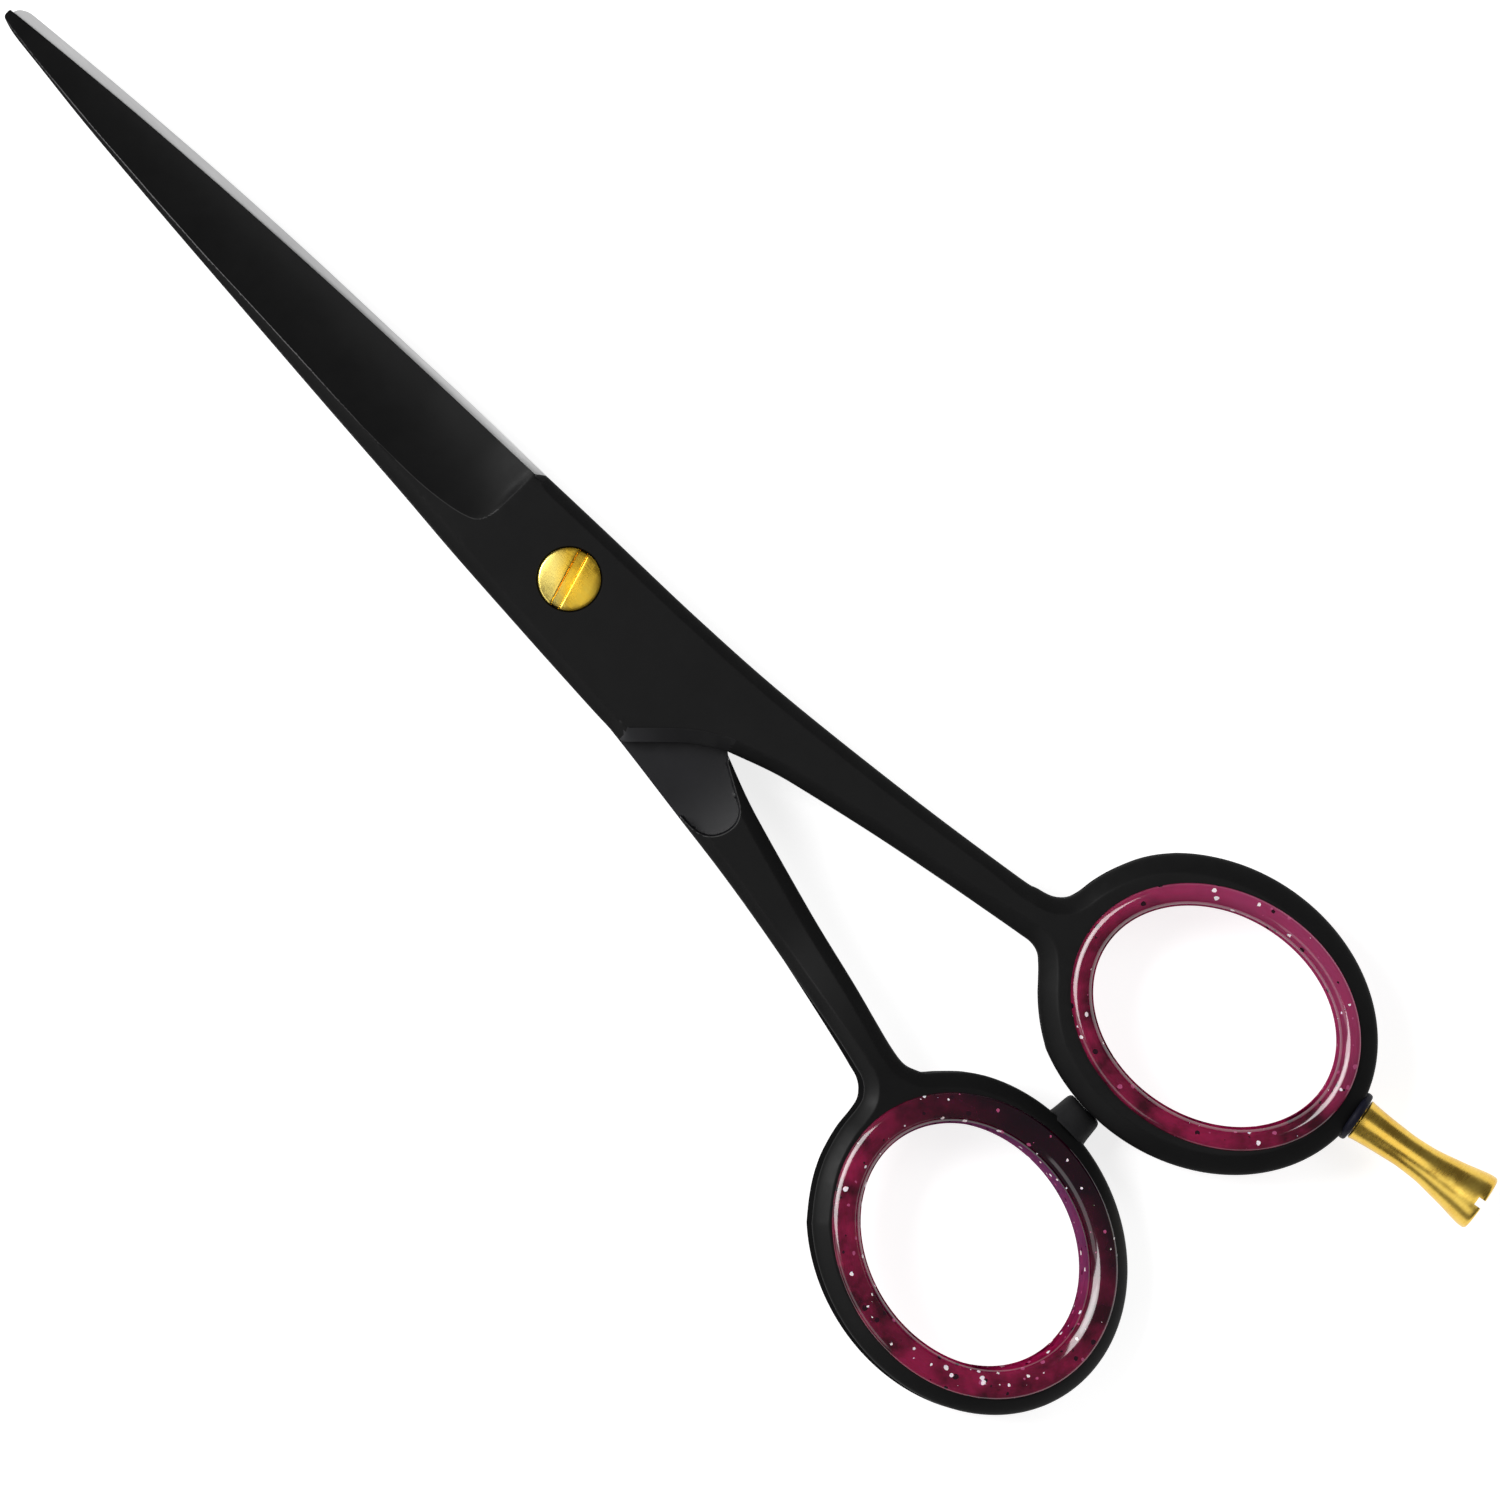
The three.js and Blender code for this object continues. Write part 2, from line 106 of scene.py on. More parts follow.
# The blade from the plate to the tip, as x and the value there.
EDGE_THICKNESS = ([9.4, 14, 22, 35, 50, 76], [2.58, 1.75, 1.0, 0.5, 0.22, 0.12])
HOLLOW_SAG = ([9.4, 12, 20, 40, 60, 76], [0.2, 0.38, 0.5, 0.42, 0.2, 0.03])
ARRIS = 0.045  # rounding where two ground faces meet
RIDGE_HIGHLIGHT, STEP_HIGHLIGHT = 0.04, 0.045  # half widths of the painted highlight lines

# Material slots of a half.
# The fourth slot is painted highlight: light grey lines along crisp edges.
COATED, BARE, MILLED, HIGHLIGHT_LINE, UPRIGHT, LAPPED = range(6)

# Outline of each half: cutting edge and spine from the pivot plate to the tip, the outer
# and inner sides from the plate to the ring, and the lap edge with its far corner.
FINGER = dict(
    edge=[(9.4, -4.72), (13.3, -4.57), (24.8, -4.13), (36.2, -3.58), (47.7, -2.87),
          (59.1, -2.01), (66.7, -1.30), (72.4, -0.72), (76.2, -0.3)],
    tip=[(76.2, -0.3), (76.31, -0.2), (76.3, 0.2), (76.2, 0.5), (76.0, 0.66)],
    spine=[(76.0, 0.66), (74.3, 1.12), (70.5, 1.54), (62.9, 2.34), (51.5, 3.24),
           (40.0, 4.05), (28.6, 4.84), (17.2, 5.58), (9.5, 6.15), (0, 6.69), (-5.7, 6.98),
           (-10.5, 7.2), (-14.2, 7.3)],
    lap=[(-14.2, 7.3), (-14.7, 7.15), (-15.8, 6.06), (-17.9, 3.98), (-19.7, 2.4), (-22.3, 0.83)],
    inner=[(-22.3, 0.83), (-26.7, -0.81), (-30.5, -1.83), (-38.1, -3.6), (-45.8, -5.17),
           (-51.8, -6.3), (-54.41, -6.77), (-55.66, -6.95), (-56.75, -6.7), (-57.65, -5.98),
           (-58.59, -5.03), (-59.64, -3.93), (-60.93, -2.79), (-62.33, -1.77)],
    outer=[(-58.17, -21.46), (-57.23, -19.98), (-56.48, -18.3), (-55.93, -16.71), (-55.58, -15.17),
           (-55.4, -13.74), (-55.11, -12.69), (-54.65, -12.07), (-54.05, -11.6), (-53.28, -11.28),
           (-52.33, -11.02), (-50.27, -10.5), (-38.1, -8.67), (-22.9, -6.86), (-11.4, -6.08),
           (0, -5.7), (7.6, -5.42), (8.5, -5.36)],
    ring=dict(x=-72.2, y=-14, turn=0.195, start=-0.883, end=0.902),
    bore=dict(x=-73.03, y=-14.48, a=12.4, b=9.72, turn=0.21),
    lip=2.2, ring_edge=(1.85, 1.25), tilt=0.0, towards=(1, 0),
    ridge=[(10.1, 2.05), (10.45, 2.4), (11.15, 2.72), (12.6, 3.13), (15.1, 3.52), (17.9, 3.72),
           (23.4, 3.8), (28, 3.66), (33, 3.44), (40, 3.2), (46, 3.01), (52, 2.7), (56, 2.44),
           (60, 2.18), (64, 1.9), (68.4, 1.52), (71.6, 1.22), (75.6, 0.72)],
    step=[(-23.6, -6.74), (-24.95, -6.77), (-26.15, -6.5), (-27, -5.93),
          (-27.57, -5.08), (-27.84, -4.08), (-27.77, -3.16), (-27.24, -2.2), (-26.4, -1.6),
          (-25.5, -1.1), (-24.2, -0.4), (-23.3, 0.15), (-22.9, 0.45)],
    pivot=1.75, counterbore=True,
)
THUMB = dict(
    edge=[(9.4, -4.95), (22.9, -4.3), (41.9, -3.15), (61, -1.8), (72.4, -0.75), (75.3, -0.3)],
    tip=[(75.3, -0.3), (75.8, 0.0), (75.9, 0.45), (75.6, 0.95), (75.0, 1.32)],
    spine=[(75.0, 1.32), (74.3, 1.48), (70.5, 1.86), (62.9, 2.59), (51.5, 3.51), (40.0, 4.21),
           (28.6, 4.69), (17.2, 5.19), (10.2, 5.35), (9.3, 5.38), (0, 5.6), (-7, 5.9),
           (-13.9, 6.15)],
    lap=[(-13.9, 6.15), (-14.6, 6.0), (-15.5, 5.2), (-17.5, 3.3), (-19.7, 1.2), (-22.6, -1.05)],
    inner=[(-22.6, -1.05), (-26.7, -2.59), (-30.5, -3.74), (-38.1, -5.81), (-45.8, -7.79),
           (-50.27, -9.07), (-53.05, -9.79), (-55.01, -10.03), (-56.36, -9.6), (-57.13, -9.14),
           (-58.15, -8.01), (-59.89, -6.3)],
    outer=[(-58.24, -25.41), (-57.02, -23.66), (-56.1, -21.88), (-55.48, -20.07), (-55.08, -18.3),
           (-54.91, -16.57), (-54.66, -15.34), (-54.17, -14.61), (-53.59, -14.11), (-52.87, -13.76),
           (-52, -13.55), (-49.85, -13.02), (-45.8, -12.15), (-38.1, -10.66), (-30.5, -9.44),
           (-22.9, -8.5), (-11.4, -7.15), (0, -6.45), (7.6, -5.95), (8.5, -5.85)],
    ring=dict(x=-71.7, y=-17.5, turn=0.205, start=-0.959, end=0.753),
    bore=dict(x=-72.11, y=-17.48, a=12.42, b=9.98, turn=0.165),
    lip=3.0, ring_edge=(1.5, 1.15), tilt=math.radians(9), towards=(-0.703, 0.711),
    ridge=[(10.1, 1.7), (10.45, 2.05), (11.15, 2.35), (12.6, 2.75), (15.1, 3.1), (17.9, 3.3),
           (23.4, 3.45), (28, 3.5), (33, 3.35), (40, 3.3), (46, 3.2), (52, 2.95), (56, 2.7),
           (60, 2.5), (64, 2.2), (68.4, 1.85), (71.6, 1.6), (74.8, 1.2)],
    step=[(-23.6, -8.38), (-24.95, -8.42), (-26.15, -8.2), (-27.0, -7.63),
          (-27.57, -6.78), (-27.84, -5.78), (-27.77, -4.86), (-27.24, -3.97), (-26.41, -3.38),
          (-25.49, -2.89), (-24.2, -2.18), (-23.2, -1.62), (-22.9, -1.3)],
    pivot=1.42, counterbore=False,
)

# ---- Curves ----------------------------------------------------------------------------


def resampled(points, step):
    gaps = np.linalg.norm(np.diff(points, axis=0), axis=1)
    along = np.concatenate([[0], np.cumsum(gaps)])
    count = max(2, round(along[-1] / step) + 1)
    at = np.linspace(0, along[-1], count)
    return np.column_stack([np.interp(at, along, points[:, k]) for k in range(points.shape[1])])


def smooth_curve(points, step=OUTLINE_STEP):
    """Catmull-Rom curve through the points, evenly spaced."""
    p = np.array(points, float)
    t = np.linspace(0, 1, 24, endpoint=False)[:, None]
    runs = []
    for i in range(len(p) - 1):
        a, b = p[i], p[i + 1]
        out = (b - p[max(i - 1, 0)]) / 2
        into = (p[min(i + 2, len(p) - 1)] - a) / 2
        runs.append((2 * a - 2 * b + out + into) * t**3 + (3 * b - 3 * a - 2 * out - into) * t**2
                    + out * t + a)
    return resampled(np.vstack([*runs, p[-1:]]), step)


def oval(cx, cy, a, b, turn, start=0.0, end=2 * math.pi, count=96, closed=True):
    angle = np.linspace(start, end, count, endpoint=not closed)
    x, y = a * np.cos(angle), b * np.sin(angle)
    return np.column_stack([cx + x * math.cos(turn) - y * math.sin(turn),
                            cy + x * math.sin(turn) + y * math.cos(turn)])


def cross(u, v):
    return u[0] * v[1] - u[1] * v[0]


def outline_of(h):
    """Columns x, y, width and height of the edge rounding, counter-clockwise from the tip."""
    ring = h["ring"]
    arc = oval(ring["x"], ring["y"], RING_A, RING_B, ring["turn"],
               ring["end"], ring["start"] + 2 * math.pi, 220, closed=False)
    into_ring = smooth_curve([*h["inner"], arc[0]], 0.3)
    from_ring = smooth_curve([arc[-1], *h["outer"]], 0.3)
    plate_end = h["outer"][-1]
    ring_width, ring_height = h["ring_edge"]

    def bevel_into_ring(points, width, height):
        x = -points[:, 0]
        return (points, np.interp(x, SHANK_TO_RING, [width, ring_width]),
                np.interp(x, SHANK_TO_RING, [height, ring_height]))

    # Each part is a run of points with its bevel's width and height, None for the spine's.
    parts = [
        (smooth_curve(h["tip"], 0.12), 0.3, 0.25),
        (smooth_curve(h["spine"]), None, None),
        (smooth_curve(h["lap"], 0.25), *LAP_BEVEL),
        bevel_into_ring(into_ring, 1.25, 0.95),
        (arc, ring_width, ring_height),
        bevel_into_ring(from_ring, 1.1, 0.85),
        (smooth_curve([plate_end, (8.75, plate_end[1] + 0.1), h["edge"][0]], 0.12), 0.7, 0.6),
        (smooth_curve(h["edge"]), 0.02, 0.02),
    ]
    rows = []
    for points, width, height in parts:
        x = points[:, 0]
        if width is None:
            width = np.interp(x, *SPINE_BEVEL)
            height = 0.7 * width
        rows.append(np.column_stack([points, np.full(len(x), 1.0) * width,
                                     np.full(len(x), 1.0) * height])[:-1])
    outline = np.vstack(rows)
    soft = outline.copy()
    for shift in range(-4, 5):
        if shift:
            soft[:, 2:] += np.roll(outline[:, 2:], shift, axis=0)
    soft[:, 2:] /= 9
    keep = outline[:, 2] > 0.05
    outline[keep, 2:] = soft[keep, 2:]
    return outline


# ---- Plane geometry --------------------------------------------------------------------


def inside(points, loop):
    """Even-odd test of each point against a closed loop."""
    a, b = loop, np.roll(loop, -1, axis=0)
    found = np.zeros(len(points), bool)
    for i in range(0, len(points), 4000):
        x, y = points[i:i + 4000, 0:1], points[i:i + 4000, 1:2]
        spans = (a[:, 1] > y) != (b[:, 1] > y)
        rise = np.where(b[:, 1] == a[:, 1], 1e-12, b[:, 1] - a[:, 1])
        cut = a[:, 0] + (y - a[:, 1]) * (b[:, 0] - a[:, 0]) / rise
        found[i:i + 4000] = (spans & (x < cut)).sum(1) % 2 == 1
    return found


def nearest(points, line, closed=True):
    """Distance of each point to a polyline, and the line's other columns there."""
    a = line if closed else line[:-1]
    b = np.roll(line, -1, axis=0) if closed else line[1:]
    step = b[:, :2] - a[:, :2]
    size = np.maximum((step**2).sum(1), 1e-12)
    distance = np.empty(len(points))
    values = np.empty((len(points), line.shape[1] - 2))
    for i in range(0, len(points), 2000):
        away = points[i:i + 2000, None, :2] - a[None, :, :2]
        t = np.clip((away * step).sum(2) / size, 0, 1)
        gap = ((away - t[..., None] * step) ** 2).sum(2)
        k = gap.argmin(1)
        n = np.arange(len(k))
        distance[i:i + 2000] = np.sqrt(gap[n, k])
        share = t[n, k][:, None]
        values[i:i + 2000] = a[k, 2:] * (1 - share) + b[k, 2:] * share
    return distance, values


def offset_rows(line, offsets, closed=True):
    """Points beside a polyline, on its left for a positive offset."""
    ahead = np.roll(line, -1, axis=0)[:, :2] - np.roll(line, 1, axis=0)[:, :2]
    if not closed:
        ahead[0], ahead[-1] = line[1, :2] - line[0, :2], line[-1, :2] - line[-2, :2]
    ahead /= np.linalg.norm(ahead, axis=1)[:, None]
    left = np.column_stack([-ahead[:, 1], ahead[:, 0]])
    return [line[:, :2] + left * np.reshape(o, (-1, 1)) for o in offsets]


def smoothstep(x, low, high):
    t = np.clip((x - low) / (high - low), 0, 1)
    return t * t * (3 - 2 * t)


def triangulated(loops, lines, points):
    """Triangles over the area inside the first loop and outside the others. lines are
    open polylines that the triangles keep to, and points are free."""
    chains = [(loop, True) for loop in loops] + [(line, False) for line in lines]
    coords, edges = [], []
    for chain, closed in chains:
        first = len(coords)
        coords.extend(map(tuple, chain[:, :2]))
        last = len(coords) - 1
        edges.extend((i, i + 1) for i in range(first, last))
        if closed:
            edges.append((last, first))
    coords.extend(map(tuple, points[:, :2]))
    made = delaunay_2d_cdt([Vector(c) for c in coords], edges, [], 0, 1e-5)
    plane = np.array([v[:] for v in made[0]])
    faces = np.array(made[2])
    middle = plane[faces].mean(1)
    keep = inside(middle, loops[0][:, :2])
    for hole in loops[1:]:
        keep &= ~inside(middle, hole[:, :2])
    faces = faces[keep]
    corner = plane[faces]
    area = cross((corner[:, 1] - corner[:, 0]).T, (corner[:, 2] - corner[:, 0]).T)
    faces[area < 0] = faces[area < 0][:, ::-1]
    used = np.unique(faces)
    lookup = np.full(len(plane), -1)
    lookup[used] = np.arange(len(used))
    return plane[used], lookup[faces]


def closed_solid(plane, faces, high, low):
    """Vertices and faces of the body between two height fields over the same triangles."""
    count = len(plane)
    verts = np.vstack([np.column_stack([plane, high]), np.column_stack([plane, low])])
    directed = {(a, b) for f in faces.tolist() for a, b in zip(f, f[1:] + f[:1])}
    rim = [(a, b) for a, b in directed if (b, a) not in directed]
    walls = [(b, a, a + count, b + count) for a, b in rim]
    below = faces[:, ::-1] + count
    return verts, faces.tolist() + below.tolist() + walls


# ---- Mesh objects ------------------------------------------------------------------------


def make_object(name, verts, faces, place=Matrix.Identity(4), sharp=32, materials=(), which=None):
    mesh = bpy.data.meshes.new(name)
    mesh.from_pydata((np.asarray(verts) * MM).tolist(), [], faces)
    scaled = place.copy()
    scaled.translation *= MM
    mesh.transform(scaled)
    mesh.validate()
    mesh.shade_smooth()
    mesh.set_sharp_from_angle(angle=math.radians(sharp))
    for material in materials:
        mesh.materials.append(material)
    if which is not None:
        mesh.polygons.foreach_set("material_index", np.asarray(which, np.int32))
    obj = bpy.data.objects.new(name, mesh)
    bpy.context.scene.collection.objects.link(obj)
    return obj


def lathe(profile, steps=96):
    """Closed body of [radius, height] points turned about Z, from axis to axis."""
    rings = [(r, z) for r, z in profile if r > 1e-6]
    verts = [(0, 0, profile[0][1])]
    angle = np.linspace(0, 2 * math.pi, steps, endpoint=False)
    for r, z in rings:
        verts.extend(zip(r * np.cos(angle), r * np.sin(angle), [z] * steps))
    verts.append((0, 0, profile[-1][1]))
    top = len(verts) - 1
    faces = []
    for j in range(steps):
        k = (j + 1) % steps
        faces.append((0, 1 + k, 1 + j))
        for i in range(len(rings) - 1):
            a = 1 + i * steps
            faces.append((a + j, a + k, a + steps + k, a + steps + j))
        a = 1 + (len(rings) - 1) * steps
        faces.append((a + j, a + k, top))
    return np.array(verts, float), faces


def joined(*bodies):
    verts, faces, offset = [], [], 0
    for v, f in bodies:
        verts.append(v)
        faces.extend(tuple(int(i) + offset for i in face) for face in f)
        offset += len(v)
    return np.vstack(verts), faces


def laid_along(angle, x, y, z):
    """The Z axis laid along a direction in the XY plane, at x, y, z."""
    c, s = math.cos(angle), math.sin(angle)
    return Matrix(((-s, 0, c, x), (c, 0, s, y), (0, 1, 0, z), (0, 0, 0, 1)))


def half_place(h):
    if h is FINGER:
        return Matrix.Identity(4)
    return Matrix.Translation((0, 0, THICKNESS)) @ Matrix.Rotation(math.pi, 4, "X")


def tilt_axis(h):
    return Vector((h["towards"][1], -h["towards"][0], 0))


def ring_place(h):
    ring = h["ring"]
    turn = Matrix.Rotation(h["tilt"], 4, tilt_axis(h))
    return half_place(h) @ Matrix.Translation((ring["x"], ring["y"], MID)) @ turn


# ---- The two halves ---------------------------------------------------------------------


def smax(a, b, k):
    """The greater of two, with the corner between them rounded."""
    return np.maximum(a, b) + np.clip(k - np.abs(a - b), 0, None) ** 2 / (4 * k)


def edge_drop(distance, width, height):
    """How far a face falls near an outer edge: a chamfer that ends upright. It goes below
    zero inside the edge's band."""
    u = 1 - distance / np.maximum(width, 1e-6)
    round_part = 1 - np.sqrt(1 - np.clip(u, 0, 1) ** 2)
    return height * (BEVEL_CRISP * np.clip(u, -1, 1) + (1 - BEVEL_CRISP) * round_part)


class Half:
    """One forged half: two height fields over its outline, joined by upright walls."""

    END_RUN = 0.85  # of the hollow grind behind the plate
    MILLED_RISE = 0.8  # of the milled face towards the round end of its step
    BARE_FROM_X = -13  # where the bare steel of the inner face starts

    def __init__(self, h):
        self.h = h
        self.outline = outline_of(h)
        bore = h["bore"]
        self.ring_bore = oval(bore["x"], bore["y"], bore["a"] + INSERT_WALL,
                              bore["b"] + INSERT_WALL, bore["turn"], count=150)
        self.pivot_bore = oval(0, 0, h["pivot"], h["pivot"], 0, count=48)
        self.ridge = smooth_curve(h["ridge"], 0.5)
        self.edge = smooth_curve(h["edge"], 0.5)
        self.spine = smooth_curve(h["spine"], 0.5)[::-1]
        self.step = smooth_curve(h["step"], 0.3)
        first, last = h["step"][0], h["step"][-1]
        self.bare = np.column_stack([np.full(60, self.BARE_FROM_X), np.linspace(-9, 9, 60)])
        self.milled = np.vstack([self.step, [(last[0], 30), (90, 30), (90, -40), (first[0], -40)]])
        apex = h["ridge"][0]
        self.end = smooth_curve([(9.42, h["edge"][0][1] + 0.1), (9.45, -2.6), (9.47, -0.4),
                                 (9.68, apex[1] - 0.85), apex], 0.3)

    def free_points(self):
        """Rows beside every rounded edge and step, then a loose grid between them."""
        outline = self.outline
        rows = []
        for u in ROUND_ROWS:
            depth = outline[:, 2] * (1 - u)
            row = offset_rows(outline, [depth])[0]
            gap, _ = nearest(row, outline)
            rows.append(row[(gap > 0.93 * depth) & (depth > 0.01)])
        rows.extend(offset_rows(self.ring_bore, [-0.05, -0.16, -0.35, -0.6, -0.9]))
        rows.extend(offset_rows(self.pivot_bore, [-0.08, -0.2, -0.5]))
        if self.h["counterbore"]:
            rows.extend(oval(0, 0, r, r, 0, count=72) for r in (*COUNTERBORE_RADII, 3.4, 4.2))
        steps = [0.1, 0.05, -0.05, -0.1, -0.2, -0.3, -0.45, -0.7, -1.1, -1.6, -2.2]
        rows.extend(offset_rows(self.step, steps, closed=False))
        rows.extend(offset_rows(self.ridge, [-0.2, -0.1, -0.05, 0.05, 0.1, 0.2], closed=False))
        rows.extend(offset_rows(self.end, [-0.3, -0.6, -0.9, -0.1, 0.1], closed=False))
        for x in np.arange(9.9, 75.4, 0.8):
            low = np.interp(x, self.edge[:, 0], self.edge[:, 1])
            high = np.interp(x, self.ridge[:, 0], self.ridge[:, 1])
            back = np.interp(x, self.spine[:, 0], self.spine[:, 1])
            across = np.linspace(low, high, 11)[1:-1]
            facet = np.linspace(high, back - 0.2, 5)[1:]
            y = np.concatenate([across, facet])
            rows.append(np.column_stack([np.full(len(y), x), y]))
        x, y = np.meshgrid(np.arange(-92, 9.2, 1.3), np.arange(-35, 9, 1.3))
        x[1::2] += 0.65
        grid = np.column_stack([x.ravel(), y.ravel()])
        gap, width = nearest(grid, outline)
        keep = (gap > width[:, 0] + 0.35) & (nearest(grid, self.ring_bore)[0] > 1.1)
        keep &= (np.hypot(*grid.T) > 4.6) & (nearest(grid, self.step, closed=False)[0] > 0.5)
        rows.append(grid[keep])
        points = np.vstack(rows)
        keep = inside(points, outline[:, :2]) & ~inside(points, self.ring_bore)
        keep &= ~inside(points, self.pivot_bore)
        points = points[keep]
        return points[nearest(points, outline)[0] > 0.012]

    def face_height(self, p, distance, edge):
        """Outer face above the inner face."""
        x, y = p[:, 0], p[:, 1]
        run = np.clip((x - PLATE_END_X) / (TIP_X - PLATE_END_X), 0, 1)
        tall = (THICKNESS - INNER_FACE) * (1 - run) + TIP_HEIGHT * run
        ridge = np.interp(x, self.ridge[:, 0], self.ridge[:, 1])
        low = np.interp(x, self.edge[:, 0], self.edge[:, 1])
        start = np.interp(y, self.end[:, 1], self.end[:, 0])
        s = (ridge - y) / np.maximum(ridge - low, 1e-6)
        fall = tall - np.interp(x, *EDGE_THICKNESS)
        sag = np.interp(x, *HOLLOW_SAG)
        hollow = fall * s + 4 * sag * s * np.where(s > 0, 1 - s, 1)
        t = np.clip((x - start) / self.END_RUN, 0, 1)
        hollow = np.where(x > start, hollow * (1 - (1 - t) ** 2), -1)
        bevel = edge_drop(distance, edge[:, 0], np.minimum(edge[:, 1], 0.6 * tall))
        drop = smax(smax(hollow, 0, ARRIS), bevel, ARRIS)
        return np.maximum(tall - drop, EDGE_LAND)

    def bore_drop(self, p):
        gap, _ = nearest(p, self.ring_bore)
        u = np.clip(1 - gap / BORE_ROUND, 0, 1)
        return BORE_ROUND * (1 - np.sqrt(1 - u * u))

    def heights(self, p):
        distance, edge = nearest(p, self.outline)
        high = INNER_FACE + self.face_height(p, distance, edge) - self.bore_drop(p)
        radius = np.hypot(p[:, 0], p[:, 1])
        if self.h["counterbore"]:
            sink = np.interp(radius, COUNTERBORE_RADII, [COUNTERBORE_DEPTH, 0.07, 0])
        else:
            sink = np.interp(radius, [self.h["pivot"], self.h["pivot"] + 0.2], [0.2, 0])
        high = high - sink
        gap, _ = nearest(p, self.step, closed=False)
        rise = self.MILLED_RISE * np.clip((-p[:, 0] - 21.5) / 6.3, 0, 1) ** 2
        wall = np.clip(gap / 0.18, 0, 1)
        floor = (INNER_FACE - rise) * (1 - (1 - wall) ** 2.2)
        floor = np.where(inside(p, self.milled), floor, 0)
        full = np.maximum(edge_drop(distance, edge[:, 0], edge[:, 1]), 0) + self.bore_drop(p)
        low = np.where(floor > 2 * ARRIS + full, floor, smax(floor, full, ARRIS))
        return high, np.minimum(low, high - 0.05)

    def tilted(self, verts):
        h = self.h
        if not h["tilt"]:
            return verts
        centre = np.array([h["ring"]["x"], h["ring"]["y"], MID])
        angle = h["tilt"] * smoothstep(-verts[:, 0], TILT_FROM_X, TILT_TO_X)
        axis = np.array(tilt_axis(h).normalized())
        v = verts - centre
        c, s = np.cos(angle)[:, None], np.sin(angle)[:, None]
        return centre + v * c + np.cross(axis, v) * s + axis * (v @ axis)[:, None] * (1 - c)

    def build(self, name, materials):
        """materials gives the material of each of a half's slots."""
        lines = []
        for line in (self.ridge, self.end[2:], self.step, self.bare):
            clear = inside(line, self.outline[:, :2]) & (nearest(line, self.outline)[0] > 0.05)
            lines.append(line[clear])
        loops = [self.outline, self.ring_bore, self.pivot_bore]
        plane, faces = triangulated(loops, lines, self.free_points())
        high, low = self.heights(plane)
        verts, polys = closed_solid(plane, faces, high, low)
        which = np.full(len(polys), COATED)
        middle = plane[faces].mean(1)
        top, under = slice(0, len(faces)), slice(len(faces), 2 * len(faces))
        # Painted highlight: thin light lines along the ridge and the upper part of the hollow's
        # end.
        highlighted = nearest(middle, self.ridge, closed=False)[0] < RIDGE_HIGHLIGHT
        highlighted |= (nearest(middle, self.end, closed=False)[0] < RIDGE_HIGHLIGHT) & (middle[:, 1] > 0)
        from_lap = nearest(middle, smooth_curve(self.h["lap"]), closed=False)[0]
        band = from_lap < LAP_BEVEL[0]
        band &= from_lap < nearest(middle, self.outline)[0] + 0.02
        which[top] = np.where(highlighted, HIGHLIGHT_LINE, np.where(band, LAPPED, COATED))
        inner = np.where(middle[:, 0] > self.BARE_FROM_X, BARE, MILLED)
        which[under] = np.where(inside(middle, self.milled), inner, COATED)
        # Painted highlight: a thin light line along the milled step.
        rim = nearest(middle, self.step, closed=False)[0] < STEP_HIGHLIGHT
        which[under] = np.where(rim, HIGHLIGHT_LINE, which[under])
        which[2 * len(faces):] = UPRIGHT
        place = half_place(self.h)
        slots = [materials[slot] for slot in sorted(materials)]
        return make_object(name, self.tilted(verts), polys, place, 30, slots, which)


# ---- Small pieces -----------------------------------------------------------------------


def screw_body():
    """Slotted head over its shoulder and threaded end, both turned about Z."""
    rim = oval(0, 0, HEAD_R, HEAD_R, 0, count=120)
    rim_rows = (0.03, 0.08, 0.15, HEAD_ROUND)
    rows = [oval(0, 0, HEAD_R - d, HEAD_R - d, 0, count=120) for d in rim_rows]
    ends = np.linspace(-HEAD_R + 0.28, HEAD_R - 0.28, 24)
    for across in (0, 0.2, *SLOT_ACROSS, 0.9, 1.5, 2.1):
        for side in (-1, 1):
            line = np.column_stack([ends, np.full(len(ends), side * across)])
            rows.append(line[np.hypot(*line.T) < HEAD_R - 0.3])
    for across in SLOT_ACROSS:
        for side in (-1, 1):
            for d in (0.001, *rim_rows):
                r = HEAD_R - d
                x = math.sqrt(r * r - across * across)
                rows.append(np.array([[x, side * across], [-x, side * across]]))
    points = np.vstack(rows)
    points = points[np.hypot(*points.T) < HEAD_R - 0.0005]
    plane, faces = triangulated([rim], [], points)
    radius = np.hypot(*plane.T)
    u = np.clip(1 - (HEAD_R - radius) / HEAD_ROUND, 0, 1)
    high = HEAD_TOP - HEAD_ROUND * (1 - np.sqrt(1 - u * u)) - HEAD_CROWN * (radius / HEAD_R) ** 2
    high -= np.interp(np.abs(plane[:, 1]), SLOT_ACROSS, SLOT_DEPTH)
    c, s = math.cos(SLOT_TURN), math.sin(SLOT_TURN)
    plane = plane @ np.array([[c, s], [-s, c]])
    low = np.full(len(plane), HEAD_UNDER)
    head = closed_solid(plane, faces, np.maximum(high, HEAD_UNDER + 0.3), low)
    thread = [(0, 0)] + [(1.15, 0), (1.35, 0.2)]
    for k in range(9):
        z = 0.25 + 0.25 * k
        thread += [(1.37, z), (1.2, z + 0.125)]
    thread += [(1.35, 2.6), (1.5, 2.7), (1.5, HEAD_UNDER + 0.1), (0, HEAD_UNDER + 0.1)]
    return joined(head, lathe(thread, 64))


